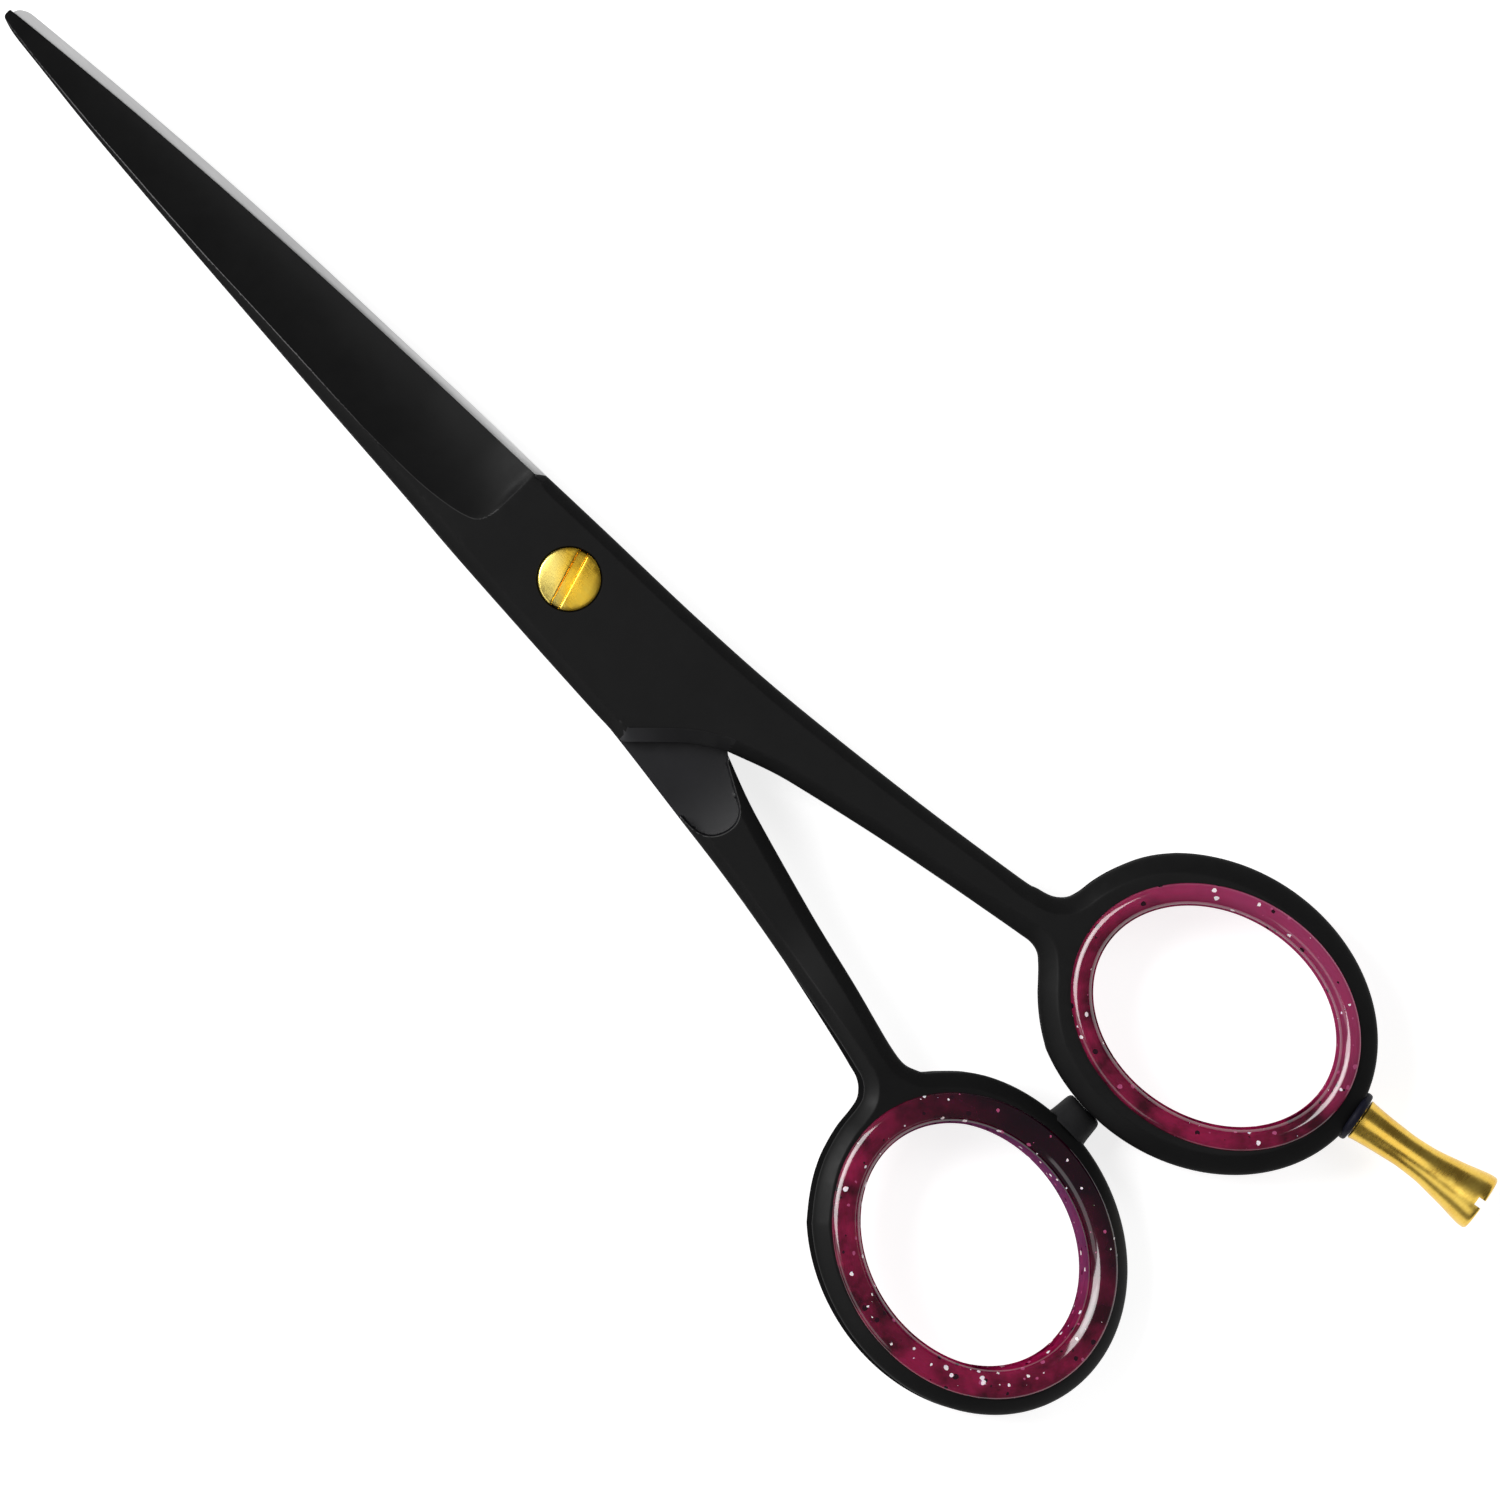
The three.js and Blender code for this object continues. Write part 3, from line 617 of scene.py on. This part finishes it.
def rest_profile():
    """The finger rest's section, stud first, and the height of its far end."""
    root = COLLAR_THICKNESS + SEAT
    end = root + REST_LENGTH
    sides = [(2.1, root + 0.12), (2.02, root + 0.6), (1.86, root + 2.3), (1.76, root + 4),
             (1.7, root + 5.4), (1.79, root + 7.4), (1.95, root + 8.6), (2.15, root + 9.7),
             (2.36, root + 10.9), (2.6, root + 12), (2.84, root + 13.2), (2.88, end - 0.35)]
    curve = smooth_curve(sides, 0.25)
    base = [(0, -2.2), (1.1, -2.2), (1.22, -2.0), (1.22, root), (1.95, root), (2.06, root + 0.04)]
    rim = [(2.87, end - 0.27), (2.8, end - 0.12), (2.68, end - 0.03), (2.52, end), (0, end)]
    return base + [tuple(p) for p in curve] + rim, end


def cut(obj, cutter):
    """The mesh of obj with cutter taken away, in place."""
    change = obj.modifiers.new("cut", "BOOLEAN")
    change.operation, change.solver, change.object = "DIFFERENCE", "EXACT", cutter
    bpy.context.view_layer.update()
    done = obj.evaluated_get(bpy.context.evaluated_depsgraph_get())
    mesh = bpy.data.meshes.new_from_object(done)
    obj.modifiers.clear()
    obj.data = mesh
    bpy.data.objects.remove(cutter)


def box_body(width, depth, low, high):
    x, y = width / 2, depth / 2
    verts = [(-x, -y, low), (x, -y, low), (x, y, low), (-x, y, low),
             (-x, -y, high), (x, -y, high), (x, y, high), (-x, y, high)]
    faces = [(0, 3, 2, 1), (4, 5, 6, 7), (0, 1, 5, 4), (1, 2, 6, 5), (2, 3, 7, 6), (3, 0, 4, 7)]
    return np.array(verts, float), faces


def rest_place():
    ring = FINGER["ring"]
    x = ring["x"] - COLLAR_SEAT * math.cos(ring["turn"])
    y = ring["y"] - COLLAR_SEAT * math.sin(ring["turn"])
    return laid_along(REST_TURN + math.pi, x, y, MID)


def finger_rest(material):
    profile, end = rest_profile()
    verts, faces = lathe(profile, 128)
    rest = make_object("finger_rest_turned", verts, faces, rest_place(), 35, [material])
    slot = box_body(REST_SLOT_WIDTH, 8, end - REST_SLOT_DEPTH, end + 1)
    cut(rest, make_object("slot_cutter", *slot, rest_place()))
    rest.data.shade_smooth()
    rest.data.set_sharp_from_angle(angle=math.radians(35))
    return rest


def collar(material):
    high = COLLAR_THICKNESS
    profile = [(0, SEAT), (2.1, SEAT), (2.35, SEAT + 0.03), (2.49, SEAT + 0.14),
               (COLLAR_R, SEAT + 0.32), (COLLAR_R, high - 0.3), (2.5, high - 0.13),
               (2.38, high - 0.03), (2.2, high), (1.3, high), (0, high)]
    verts, faces = lathe(profile, 96)
    return make_object("finger_rest_washer", verts, faces, rest_place(), 50, [material])


def bumper(material):
    """A stem and a round pad, whose top follows the outline of the finger ring."""
    profile = [(0, -1.3), (0.8, -1.3), (0.8, 0.12), (2.4, 0.12), (2.4, 0.2), (2.33, 0.4),
               (2.26, 0.7), (2.2, 1.1), (2.14, 1.6), (2.08, 2.1), (2.03, 2.38), (1.93, 2.62),
               (1.76, 2.78), (1.56, 2.84), *((r, BUMPER_TOP) for r in (1.2, 0.8, 0.4, 0))]
    verts, faces = lathe(profile, 96)
    place = ring_place(THUMB) @ laid_along(math.pi / 2, 0.95, RING_B - 0.35, 0)
    tip = np.array([place @ Vector((x, y, BUMPER_TOP)) for x, y, _ in verts])
    finger_outline = outline_of(FINGER)
    gap, _ = nearest(tip, finger_outline)
    gap = np.where(inside(tip, finger_outline[:, :2]), -gap, gap)
    verts[:, 2] += np.clip(gap - TOUCH_GAP, -0.2, 0.4) * smoothstep(verts[:, 2], 0.8, 2.5)
    return make_object("rubber_bumper", verts, faces, place, 60, [material])


def insert(name, h, materials):
    """A soft ring that snaps over both faces of the bore, swept round an oval.

    materials are the bead's and that of the opening's wall.
    """
    lip = h["lip"]
    rim = MID + SEAT
    corner = BORE_ROUND * (1 - math.sqrt(0.5))
    wall = INSERT_WALL - SEAT
    wall_depth, wall_end = 0.22, rim - 0.3
    under = [(wall, MID - BORE_ROUND), (wall + corner + 0.03, MID - corner + SEAT - 0.03),
             (INSERT_WALL + BORE_ROUND, rim), (lip - 0.3, rim)]
    crest, height, fall = 0.62 * lip, 0.42, 1.9
    turn = np.linspace(0, math.pi / 2, 9)
    outer = [(crest + (lip - crest) * math.cos(t), rim - 0.12 + (height + 0.12) * math.sin(t))
             for t in turn]
    inner = [(crest - crest * math.sin(t), rim + height - fall + fall * math.cos(t))
             for t in np.linspace(0, math.pi / 2, 22)[1:]]
    over = [*outer, *inner]
    upper = [*under, *over]
    profile = upper + [(0, 0)] + [(out, -up) for out, up in reversed(upper)]
    steps = 180
    angle = np.linspace(0, 2 * math.pi, steps, endpoint=False)
    out, up = np.array(profile).T
    a = (h["bore"]["a"] + out)[None] * np.cos(angle)[:, None]
    b = (h["bore"]["b"] + out)[None] * np.sin(angle)[:, None]
    verts = np.stack([a, b, np.broadcast_to(up, a.shape)], axis=2).reshape(-1, 3)
    count = len(profile)
    faces, which = [], []
    for i in range(steps):
        for j in range(count):
            k, n = (i + 1) % steps, (j + 1) % count
            faces.append((i * count + j, k * count + j, k * count + n, i * count + n))
            which.append(int(out[j] < wall_depth and abs(up[j] + up[n]) / 2 < wall_end))
    ring, bore = h["ring"], h["bore"]
    place = ring_place(h) @ Matrix.Translation((bore["x"] - ring["x"], bore["y"] - ring["y"], 0))
    place = place @ Matrix.Rotation(bore["turn"], 4, "Z")
    return make_object(name, verts, faces, place, 60, materials, which)


# ---- Materials --------------------------------------------------------------------------


class Nodes:
    """A short way to write a material's node tree."""

    def __init__(self, name):
        self.material = bpy.data.materials.new(name)
        self.material.use_nodes = True
        self.tree = self.material.node_tree
        self.tree.nodes.clear()
        self.shader = self.add("ShaderNodeBsdfPrincipled")
        output = self.add("ShaderNodeOutputMaterial")
        self.tree.links.new(self.shader.outputs[0], output.inputs["Surface"])
        self.place = self.add("ShaderNodeTexCoord").outputs["Object"]

    def add(self, kind, **settings):
        node = self.tree.nodes.new(kind)
        for key, value in settings.items():
            setattr(node, key, value)
        return node

    def wire(self, socket, value):
        if isinstance(value, bpy.types.NodeSocket):
            self.tree.links.new(value, socket)
        else:
            socket.default_value = value

    def set(self, **values):
        for key, value in values.items():
            self.wire(self.shader.inputs[key.replace("_", " ")], value)

    def stretched(self, scale, rotation=(0, 0, 0)):
        node = self.add("ShaderNodeMapping")
        self.wire(node.inputs["Vector"], self.place)
        node.inputs["Scale"].default_value = scale
        node.inputs["Rotation"].default_value = rotation
        return node.outputs[0]

    def noise(self, scale, detail=4.0, vector=None, roughness=0.55):
        node = self.add("ShaderNodeTexNoise")
        self.wire(node.inputs["Vector"], vector or self.place)
        node.inputs["Scale"].default_value = scale
        node.inputs["Detail"].default_value = detail
        node.inputs["Roughness"].default_value = roughness
        return node.outputs["Fac"]

    def spots(self, scale, size, share, seed=0.0):
        """1 on ragged specks: one in some cells of a grid of that scale."""
        node = self.add("ShaderNodeTexVoronoi", feature="F1")
        ragged = self.add("ShaderNodeTexNoise")
        self.wire(ragged.inputs["Vector"], self.place)
        ragged.inputs["Scale"].default_value = 2.5 * scale
        moved = self.add("ShaderNodeVectorMath", operation="MULTIPLY_ADD")
        self.wire(moved.inputs[0], ragged.outputs["Color"])
        moved.inputs[1].default_value = [0.25 / scale] * 3
        shifted = self.add("ShaderNodeVectorMath", operation="ADD")
        self.wire(shifted.inputs[0], self.place)
        shifted.inputs[1].default_value = (seed, seed * 0.7, seed * 0.3)
        self.wire(moved.inputs[2], shifted.outputs[0])
        self.wire(node.inputs["Vector"], moved.outputs[0])
        node.inputs["Scale"].default_value = scale
        pick = self.add("ShaderNodeSeparateColor")
        self.wire(pick.inputs[0], node.outputs["Color"])
        chosen = self.math("GREATER_THAN", pick.outputs[0], 1 - share)
        reach = self.math("MULTIPLY", pick.outputs[1], size)
        near = self.math("LESS_THAN", node.outputs["Distance"], reach)
        return self.math("MULTIPLY", chosen, near)

    def math(self, operation, a, b=0.0, c=0.0):
        node = self.add("ShaderNodeMath", operation=operation)
        for socket, value in zip(node.inputs, (a, b, c)):
            self.wire(socket, value)
        return node.outputs[0]

    def span(self, value, low, high, from_low=0.0, from_high=1.0):
        """low to high as value goes from from_low to from_high."""
        node = self.add("ShaderNodeMapRange")
        for key, v in (("Value", value), ("From Min", from_low), ("From Max", from_high),
                       ("To Min", low), ("To Max", high)):
            self.wire(node.inputs[key], v)
        return node.outputs[0]

    def uneven(self, scale, detail, low, high):
        """A value that wanders between low and high over the surface."""
        return self.span(self.noise(scale, detail), low, high, 0.35, 0.65)

    def axis(self, index, place=None):
        """One coordinate of the place on the surface, in metres."""
        split = self.add("ShaderNodeSeparateXYZ")
        self.wire(split.inputs[0], place or self.place)
        return split.outputs[index]

    def colours(self, factor, *stops):
        node = self.add("ShaderNodeValToRGB")
        ramp = node.color_ramp
        while len(ramp.elements) < len(stops):
            ramp.elements.new(0.5)
        for element, (at, colour) in zip(ramp.elements, stops):
            element.position = at
            element.color = (*colour, 1)
        self.wire(node.inputs[0], factor)
        return node.outputs[0]

    def mix(self, factor, a, b):
        node = self.add("ShaderNodeMix", data_type="RGBA")
        self.wire(node.inputs[0], factor)
        for socket, value in ((node.inputs[6], a), (node.inputs[7], b)):
            self.wire(socket, value if isinstance(value, bpy.types.NodeSocket) else (*value, 1))
        return node.outputs[2]

    def bump(self, height, strength, distance):
        node = self.add("ShaderNodeBump")
        self.wire(node.inputs["Height"], height)
        node.inputs["Strength"].default_value = strength
        node.inputs["Distance"].default_value = distance
        return node.outputs[0]


def black_coat(name, dark, light, rough, gloss, bump=0.08):
    n = Nodes(name)
    n.set(Base_Color=n.colours(n.noise(260, 5), (0.3, dark), (0.7, light)),
          Roughness=n.uneven(900, 4, rough - 0.03, rough + 0.03),
          Normal=n.bump(n.noise(3800, 3), bump, 0.00003))
    n.set(Metallic=0.0, IOR=1.5, Specular_IOR_Level=gloss)
    return n.material


def painted_highlight_arris():
    """Painted highlight on crisp edges: a light grey line, brightest along the middle of the blade.
    """
    n = Nodes("painted_highlight_arris")
    along = n.span(n.axis(0), 0, 1, -0.03, 0.078)
    patchy = n.math("ADD", along, n.span(n.noise(400, 3), -0.03, 0.03))
    greys = [(0.02, 0.06), (0.22, 0.02), (0.5, 0.02), (0.6, 0.11), (0.86, 0.12), (0.97, 0.03)]
    n.set(Base_Color=n.colours(patchy, *((at, (g, g, g)) for at, g in greys)),
          Roughness=n.uneven(900, 4, 0.36, 0.44))
    n.set(Specular_IOR_Level=0.4)
    return n.material


def lap_coat():
    """The bevel along the lap edge, a satin band with painted light that grows towards its outer
    corner.
    """
    n = Nodes("lap_coating")
    # Painted light: lighter and lighter towards the outer corner, away from the crotch.
    across = n.span(n.math("ABSOLUTE", n.axis(1)), 0, 1, 0.001, 0.0075)
    patchy = n.math("ADD", across, n.span(n.noise(500, 3), -0.04, 0.04))
    greys = [(0.1, 0.006), (0.5, 0.01), (0.8, 0.022), (0.97, 0.036)]
    n.set(Base_Color=n.colours(patchy, *((at, (g, g, 1.08 * g)) for at, g in greys)),
          Roughness=n.uneven(900, 4, 0.36, 0.44))
    n.set(Specular_IOR_Level=0.3)
    return n.material


def ground_steel():
    """Bare steel, ground across the blade, with painted light: paler near the plate, to lift the
    shadow that the front blade casts there, and darker towards the tip.
    """
    n = Nodes("ground_steel")
    # Painted light along X: lighter near the plate against the front blade's shadow, darker towards
    # the tip.
    along = n.span(n.axis(0), 0, 1, 0, 0.04)
    greys = [(0.0, 0.8), (0.28, 1.0), (0.38, 0.97), (0.53, 0.75), (0.69, 0.66), (0.85, 0.57)]
    tone = n.colours(along, *((at, (g, g, g)) for at, g in greys))
    lines = n.noise(1.0, 6, n.stretched((180, 3200, 180), (0, 0, 0.9)), 0.75)
    shade = n.math("MULTIPLY", lines, n.noise(120, 3))
    n.set(Base_Color=n.mix(n.span(shade, 0.25, 0, 0.14, 0.4), tone, (0.25, 0.25, 0.26)),
          Roughness=n.span(lines, 0.34, 0.5, 0.3, 0.7),
          Normal=n.bump(lines, 0.25, 0.00004))
    n.set(Metallic=0.38)
    return n.material


def gold(name, brushed, strength, dark, light, painted_highlight=None):
    """brushed gives the coordinates that the fine brush marks follow.

    The optional last colour is a painted highlight on the side towards +X +Y.
    """
    n = Nodes(name)
    grain = n.noise(1.0, 4, brushed(n), 0.6)
    cloud = n.noise(300, 3)
    tone = n.math("MULTIPLY_ADD", grain, 0.35, n.math("MULTIPLY", cloud, 0.65))
    colour = n.colours(tone, (0.35, dark), (0.65, light))
    if painted_highlight:
        # Painted highlight: the head paler on its side towards +X +Y, with a ragged border.
        across = n.axis(0, n.stretched((1, 1, 1), (0, 0, -math.pi / 4)))
        uneven_by, begins, full = 0.0016, 0.0009, 0.0022
        edge = n.math("MULTIPLY_ADD", cloud, uneven_by, across)
        colour = n.mix(n.span(edge, 0, 1, begins, full), colour, painted_highlight)
    n.set(Base_Color=colour,
          Roughness=n.span(tone, 0.22, 0.34, 0.35, 0.65),
          Normal=n.bump(grain, strength, 0.00003))
    n.set(Metallic=1.0)
    return n.material


def glitter_vinyl(name, flake_share, seed, centre, side, gloss):
    """side is a colour of painted light, which the vinyl takes towards -Y of its ring's centre."""
    n = Nodes(name)
    base = n.colours(n.noise(260, 4), (0.35, (0.045, 0.0, 0.008)), (0.6, (0.26, 0.007, 0.052)))
    # Painted light: the base colour turns to side towards -Y of the ring's centre.
    turned = n.math("ADD", n.axis(1), n.span(n.noise(160, 3), -0.003, 0.003))
    share = n.span(turned, 0.97, 0, (centre - 11) * MM, (centre + 1) * MM)
    base = n.mix(share, base, side)
    specks = n.spots(1300, 0.4, 0.25, seed)
    base = n.mix(specks, base, (0.02, 0.0, 0.008))
    pale = n.spots(1100, 0.28, 0.3, seed + 7)
    base = n.mix(pale, base, (0.45, 0.08, 0.2))
    flakes = n.math("MAXIMUM", n.spots(560, 0.18, flake_share, seed + 3),
                    n.spots(1000, 0.24, flake_share * 0.9, seed + 5))
    base = n.mix(flakes, base, (0.95, 0.85, 0.9))
    n.set(Base_Color=base, Roughness=n.span(flakes, 0.1, 0.35),
          Normal=n.bump(n.noise(220, 2), 0.08, 0.0002))
    n.set(IOR=1.5, Specular_IOR_Level=gloss, Subsurface_Weight=0.15, Subsurface_Scale=0.0005)
    n.shader.inputs["Subsurface Radius"].default_value = (1.0, 0.1, 0.2)
    return n.material


def bead_and_wall(name, flake_share, seed, centre, bead_painted_light, wall_painted_light):
    """An insert's two vinyls: glossy on the bead, matt on the wall of the opening."""
    return [glitter_vinyl(name, flake_share, seed, centre, bead_painted_light, 0.7),
            glitter_vinyl(name + "_wall", flake_share, seed, centre, wall_painted_light, 0.0)]


def rubber(name, dark, light, rough):
    n = Nodes(name)
    n.set(Base_Color=n.colours(n.noise(700, 4), (0.3, dark), (0.7, light)),
          Roughness=n.uneven(1500, 3, rough - 0.05, rough + 0.05),
          Normal=n.bump(n.noise(5000, 3), 0.3, 0.00005))
    n.set(Specular_IOR_Level=0.25)
    return n.material


def nylon():
    n = Nodes("natural_nylon")
    dark, light = (0.66, 0.62, 0.52), (0.8, 0.77, 0.68)
    n.set(Base_Color=n.colours(n.noise(500, 3), (0.3, dark), (0.7, light)),
          Roughness=n.span(n.noise(900, 3), 0.4, 0.55),
          Normal=n.bump(n.noise(3000, 3), 0.2, 0.00004))
    return n.material


# ---- Assembly ---------------------------------------------------------------------------

STEEL = ground_steel()
HALF_MATERIALS = {
    COATED: black_coat("black_coating", (0.0052, 0.0052, 0.0053), (0.0066, 0.0066, 0.0067),
                       0.42, 0.15),
    BARE: STEEL,
    MILLED: black_coat("milled_coating", (0.0052, 0.0052, 0.0068), (0.0072, 0.0072, 0.009),
                       0.4, 0.3, 0.12),
    HIGHLIGHT_LINE: painted_highlight_arris(),
    UPRIGHT: black_coat("matt_coating", (0.006, 0.006, 0.0062), (0.0085, 0.0085, 0.0087),
                        0.6, 0.0),
    LAPPED: lap_coat(),
}
# The head's last colour is a painted highlight on one side.
HEAD_GOLD = gold("gold_head", lambda n: n.stretched((500, 7000, 500), (0, 0, 0.5)), 0.1,
                 (0.92, 0.53, 0.03), (1.0, 0.69, 0.085), (1.0, 0.79, 0.2))
TURNED_GOLD = gold("gold_turned",
                   lambda n: n.stretched((6500, 1500, 1500), (0, 0, -REST_TURN)), 0.1,
                   (0.64, 0.38, 0.055), (0.84, 0.59, 0.115))
# Their last colours are painted light towards -Y of each ring: a painted pink sheen on the finger
# insert, painted shade on the thumb insert's bead and a painted purple sheen on its opening's wall.
FINGER_VINYL = bead_and_wall("vinyl_finger", 0.35, 0.011, FINGER["bore"]["y"],
                             (0.33, 0.035, 0.115), (0.33, 0.035, 0.115))
THUMB_VINYL = bead_and_wall("vinyl_thumb", 0.8, 0.029, -THUMB["bore"]["y"],
                            (0.006, 0.0, 0.004), (0.15, 0.04, 0.12))
NAVY = rubber("navy_rubber", (0.003, 0.003, 0.009), (0.006, 0.006, 0.016), 0.6)
GREY = rubber("grey_rubber", (0.01, 0.01, 0.0108), (0.0145, 0.0145, 0.0153), 0.7)


def stands_for(obj, node, body):
    """Puts a piece on its body, in place of the CAD node."""
    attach(obj, body)
    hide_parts(node)
    return obj


halves = [stands_for(Half(FINGER).build("finger_half_forged", HALF_MATERIALS),
                     "finger_half", "finger_side"),
          stands_for(Half(THUMB).build("thumb_half_forged", HALF_MATERIALS),
                     "thumb_half", "thumb_side")]
screw = make_object("slotted_pivot_screw", *screw_body(), sharp=28, materials=[HEAD_GOLD])
stands_for(screw, "pivot_screw", "tension_screw")
rest = stands_for(finger_rest(TURNED_GOLD), "finger_rest", "finger_rest")
stands_for(collar(NAVY), "finger_rest_collar", "finger_side")
stands_for(bumper(GREY), "bumper", "thumb_side")
inserts = [stands_for(insert("finger_grip_insert", FINGER, FINGER_VINYL),
                      "finger_ring_insert", "finger_side"),
           stands_for(insert("thumb_grip_insert", THUMB, THUMB_VINYL),
                      "thumb_ring_insert", "thumb_side")]
for node, material in (("pivot_bushing", nylon()), ("tension_washer", STEEL)):
    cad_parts[node].data.materials.clear()
    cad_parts[node].data.materials.append(material)

# ---- Stage --------------------------------------------------------------------------------


def floor():
    n = Nodes("pale_floor")
    n.set(Base_Color=n.colours(n.noise(3, 2), (0.4, (0.48, 0.48, 0.48)), (0.6, (0.5, 0.5, 0.5))))
    n.set(Roughness=0.9, Emission_Strength=0.8)
    n.shader.inputs["Emission Color"].default_value = (1, 1, 1, 1)
    side, gap = 3000, 0.05
    level = CAD_BOX[0].z / MM - gap
    verts = [(x * side, y * side, level) for x, y in ((-1, -1), (1, -1), (1, 1), (-1, 1))]
    make_object("floor", verts, [(0, 1, 2, 3)], materials=[n.material])


def softbox(name, place, target, width, height, power, only=()):
    """only lists the pieces that it lights. Without it, it lights everything."""
    light = bpy.data.lights.new(name, "AREA")
    light.shape, light.size, light.size_y, light.energy = "RECTANGLE", width, height, power
    obj = bpy.data.objects.new(name, light)
    obj.location = place
    obj.rotation_euler = (Vector(target) - Vector(place)).to_track_quat("-Z", "Y").to_euler()
    bpy.context.scene.collection.objects.link(obj)
    if only:
        pieces = bpy.data.collections.new("lit_by_" + name)
        for piece in only:
            pieces.objects.link(piece)
        obj.light_linking.receiver_collection = pieces
    return obj


def camera():
    """Square on from above, tips to the upper left of the frame."""
    right = Vector((-0.70316, -0.71103, 0)).normalized()
    back = Vector((0, 0, 1))
    up = back.cross(right)
    distance, frame_width = 1.2, 0.143
    data = bpy.data.cameras.new("camera")
    data.sensor_width = 36
    data.lens = data.sensor_width * (distance - THICKNESS * MM) / frame_width
    data.clip_start, data.clip_end = 0.05, 10
    obj = bpy.data.objects.new("camera", data)
    obj.matrix_world = Matrix((right, up, back)).transposed().to_4x4()
    aim_x, aim_y = -0.0237, -0.0008
    obj.location = (aim_x, aim_y, distance)
    bpy.context.scene.collection.objects.link(obj)
    bpy.context.scene.camera = obj


CENTRE = (-0.02, 0, 0)
KEY_PLACE = (0.77, 0.32, 1.0)
floor()
softbox("key", KEY_PLACE, CENTRE, 0.55, 0.55, 10.5)
softbox("strip", (0.3, 0.03, 1.5), (0.3, 0.03, 0), 1.6, 0.26, 1.8, [*halves, screw])
softbox("low_left", (0.1, 0.95, 0.8), CENTRE, 0.9, 0.5, 1.8)
softbox("right", (-0.35, -0.8, 0.95), CENTRE, 0.9, 0.6, 5.5).visible_glossy = False
softbox("sheen", KEY_PLACE, CENTRE, 1.1, 1.1, 30, inserts).visible_diffuse = False
softbox("over_rest", (-0.22, -0.07, 1.3), (-0.22, -0.07, 0), 0.8, 0.9, 3.2, [rest])
camera()
world = bpy.data.worlds.new("studio")
world.use_nodes = True
world.node_tree.nodes["Background"].inputs[0].default_value = (1, 1, 1, 1)
world.node_tree.nodes["Background"].inputs[1].default_value = 0.14
bpy.context.scene.world = world
bpy.context.scene.view_settings.view_transform = "Standard"
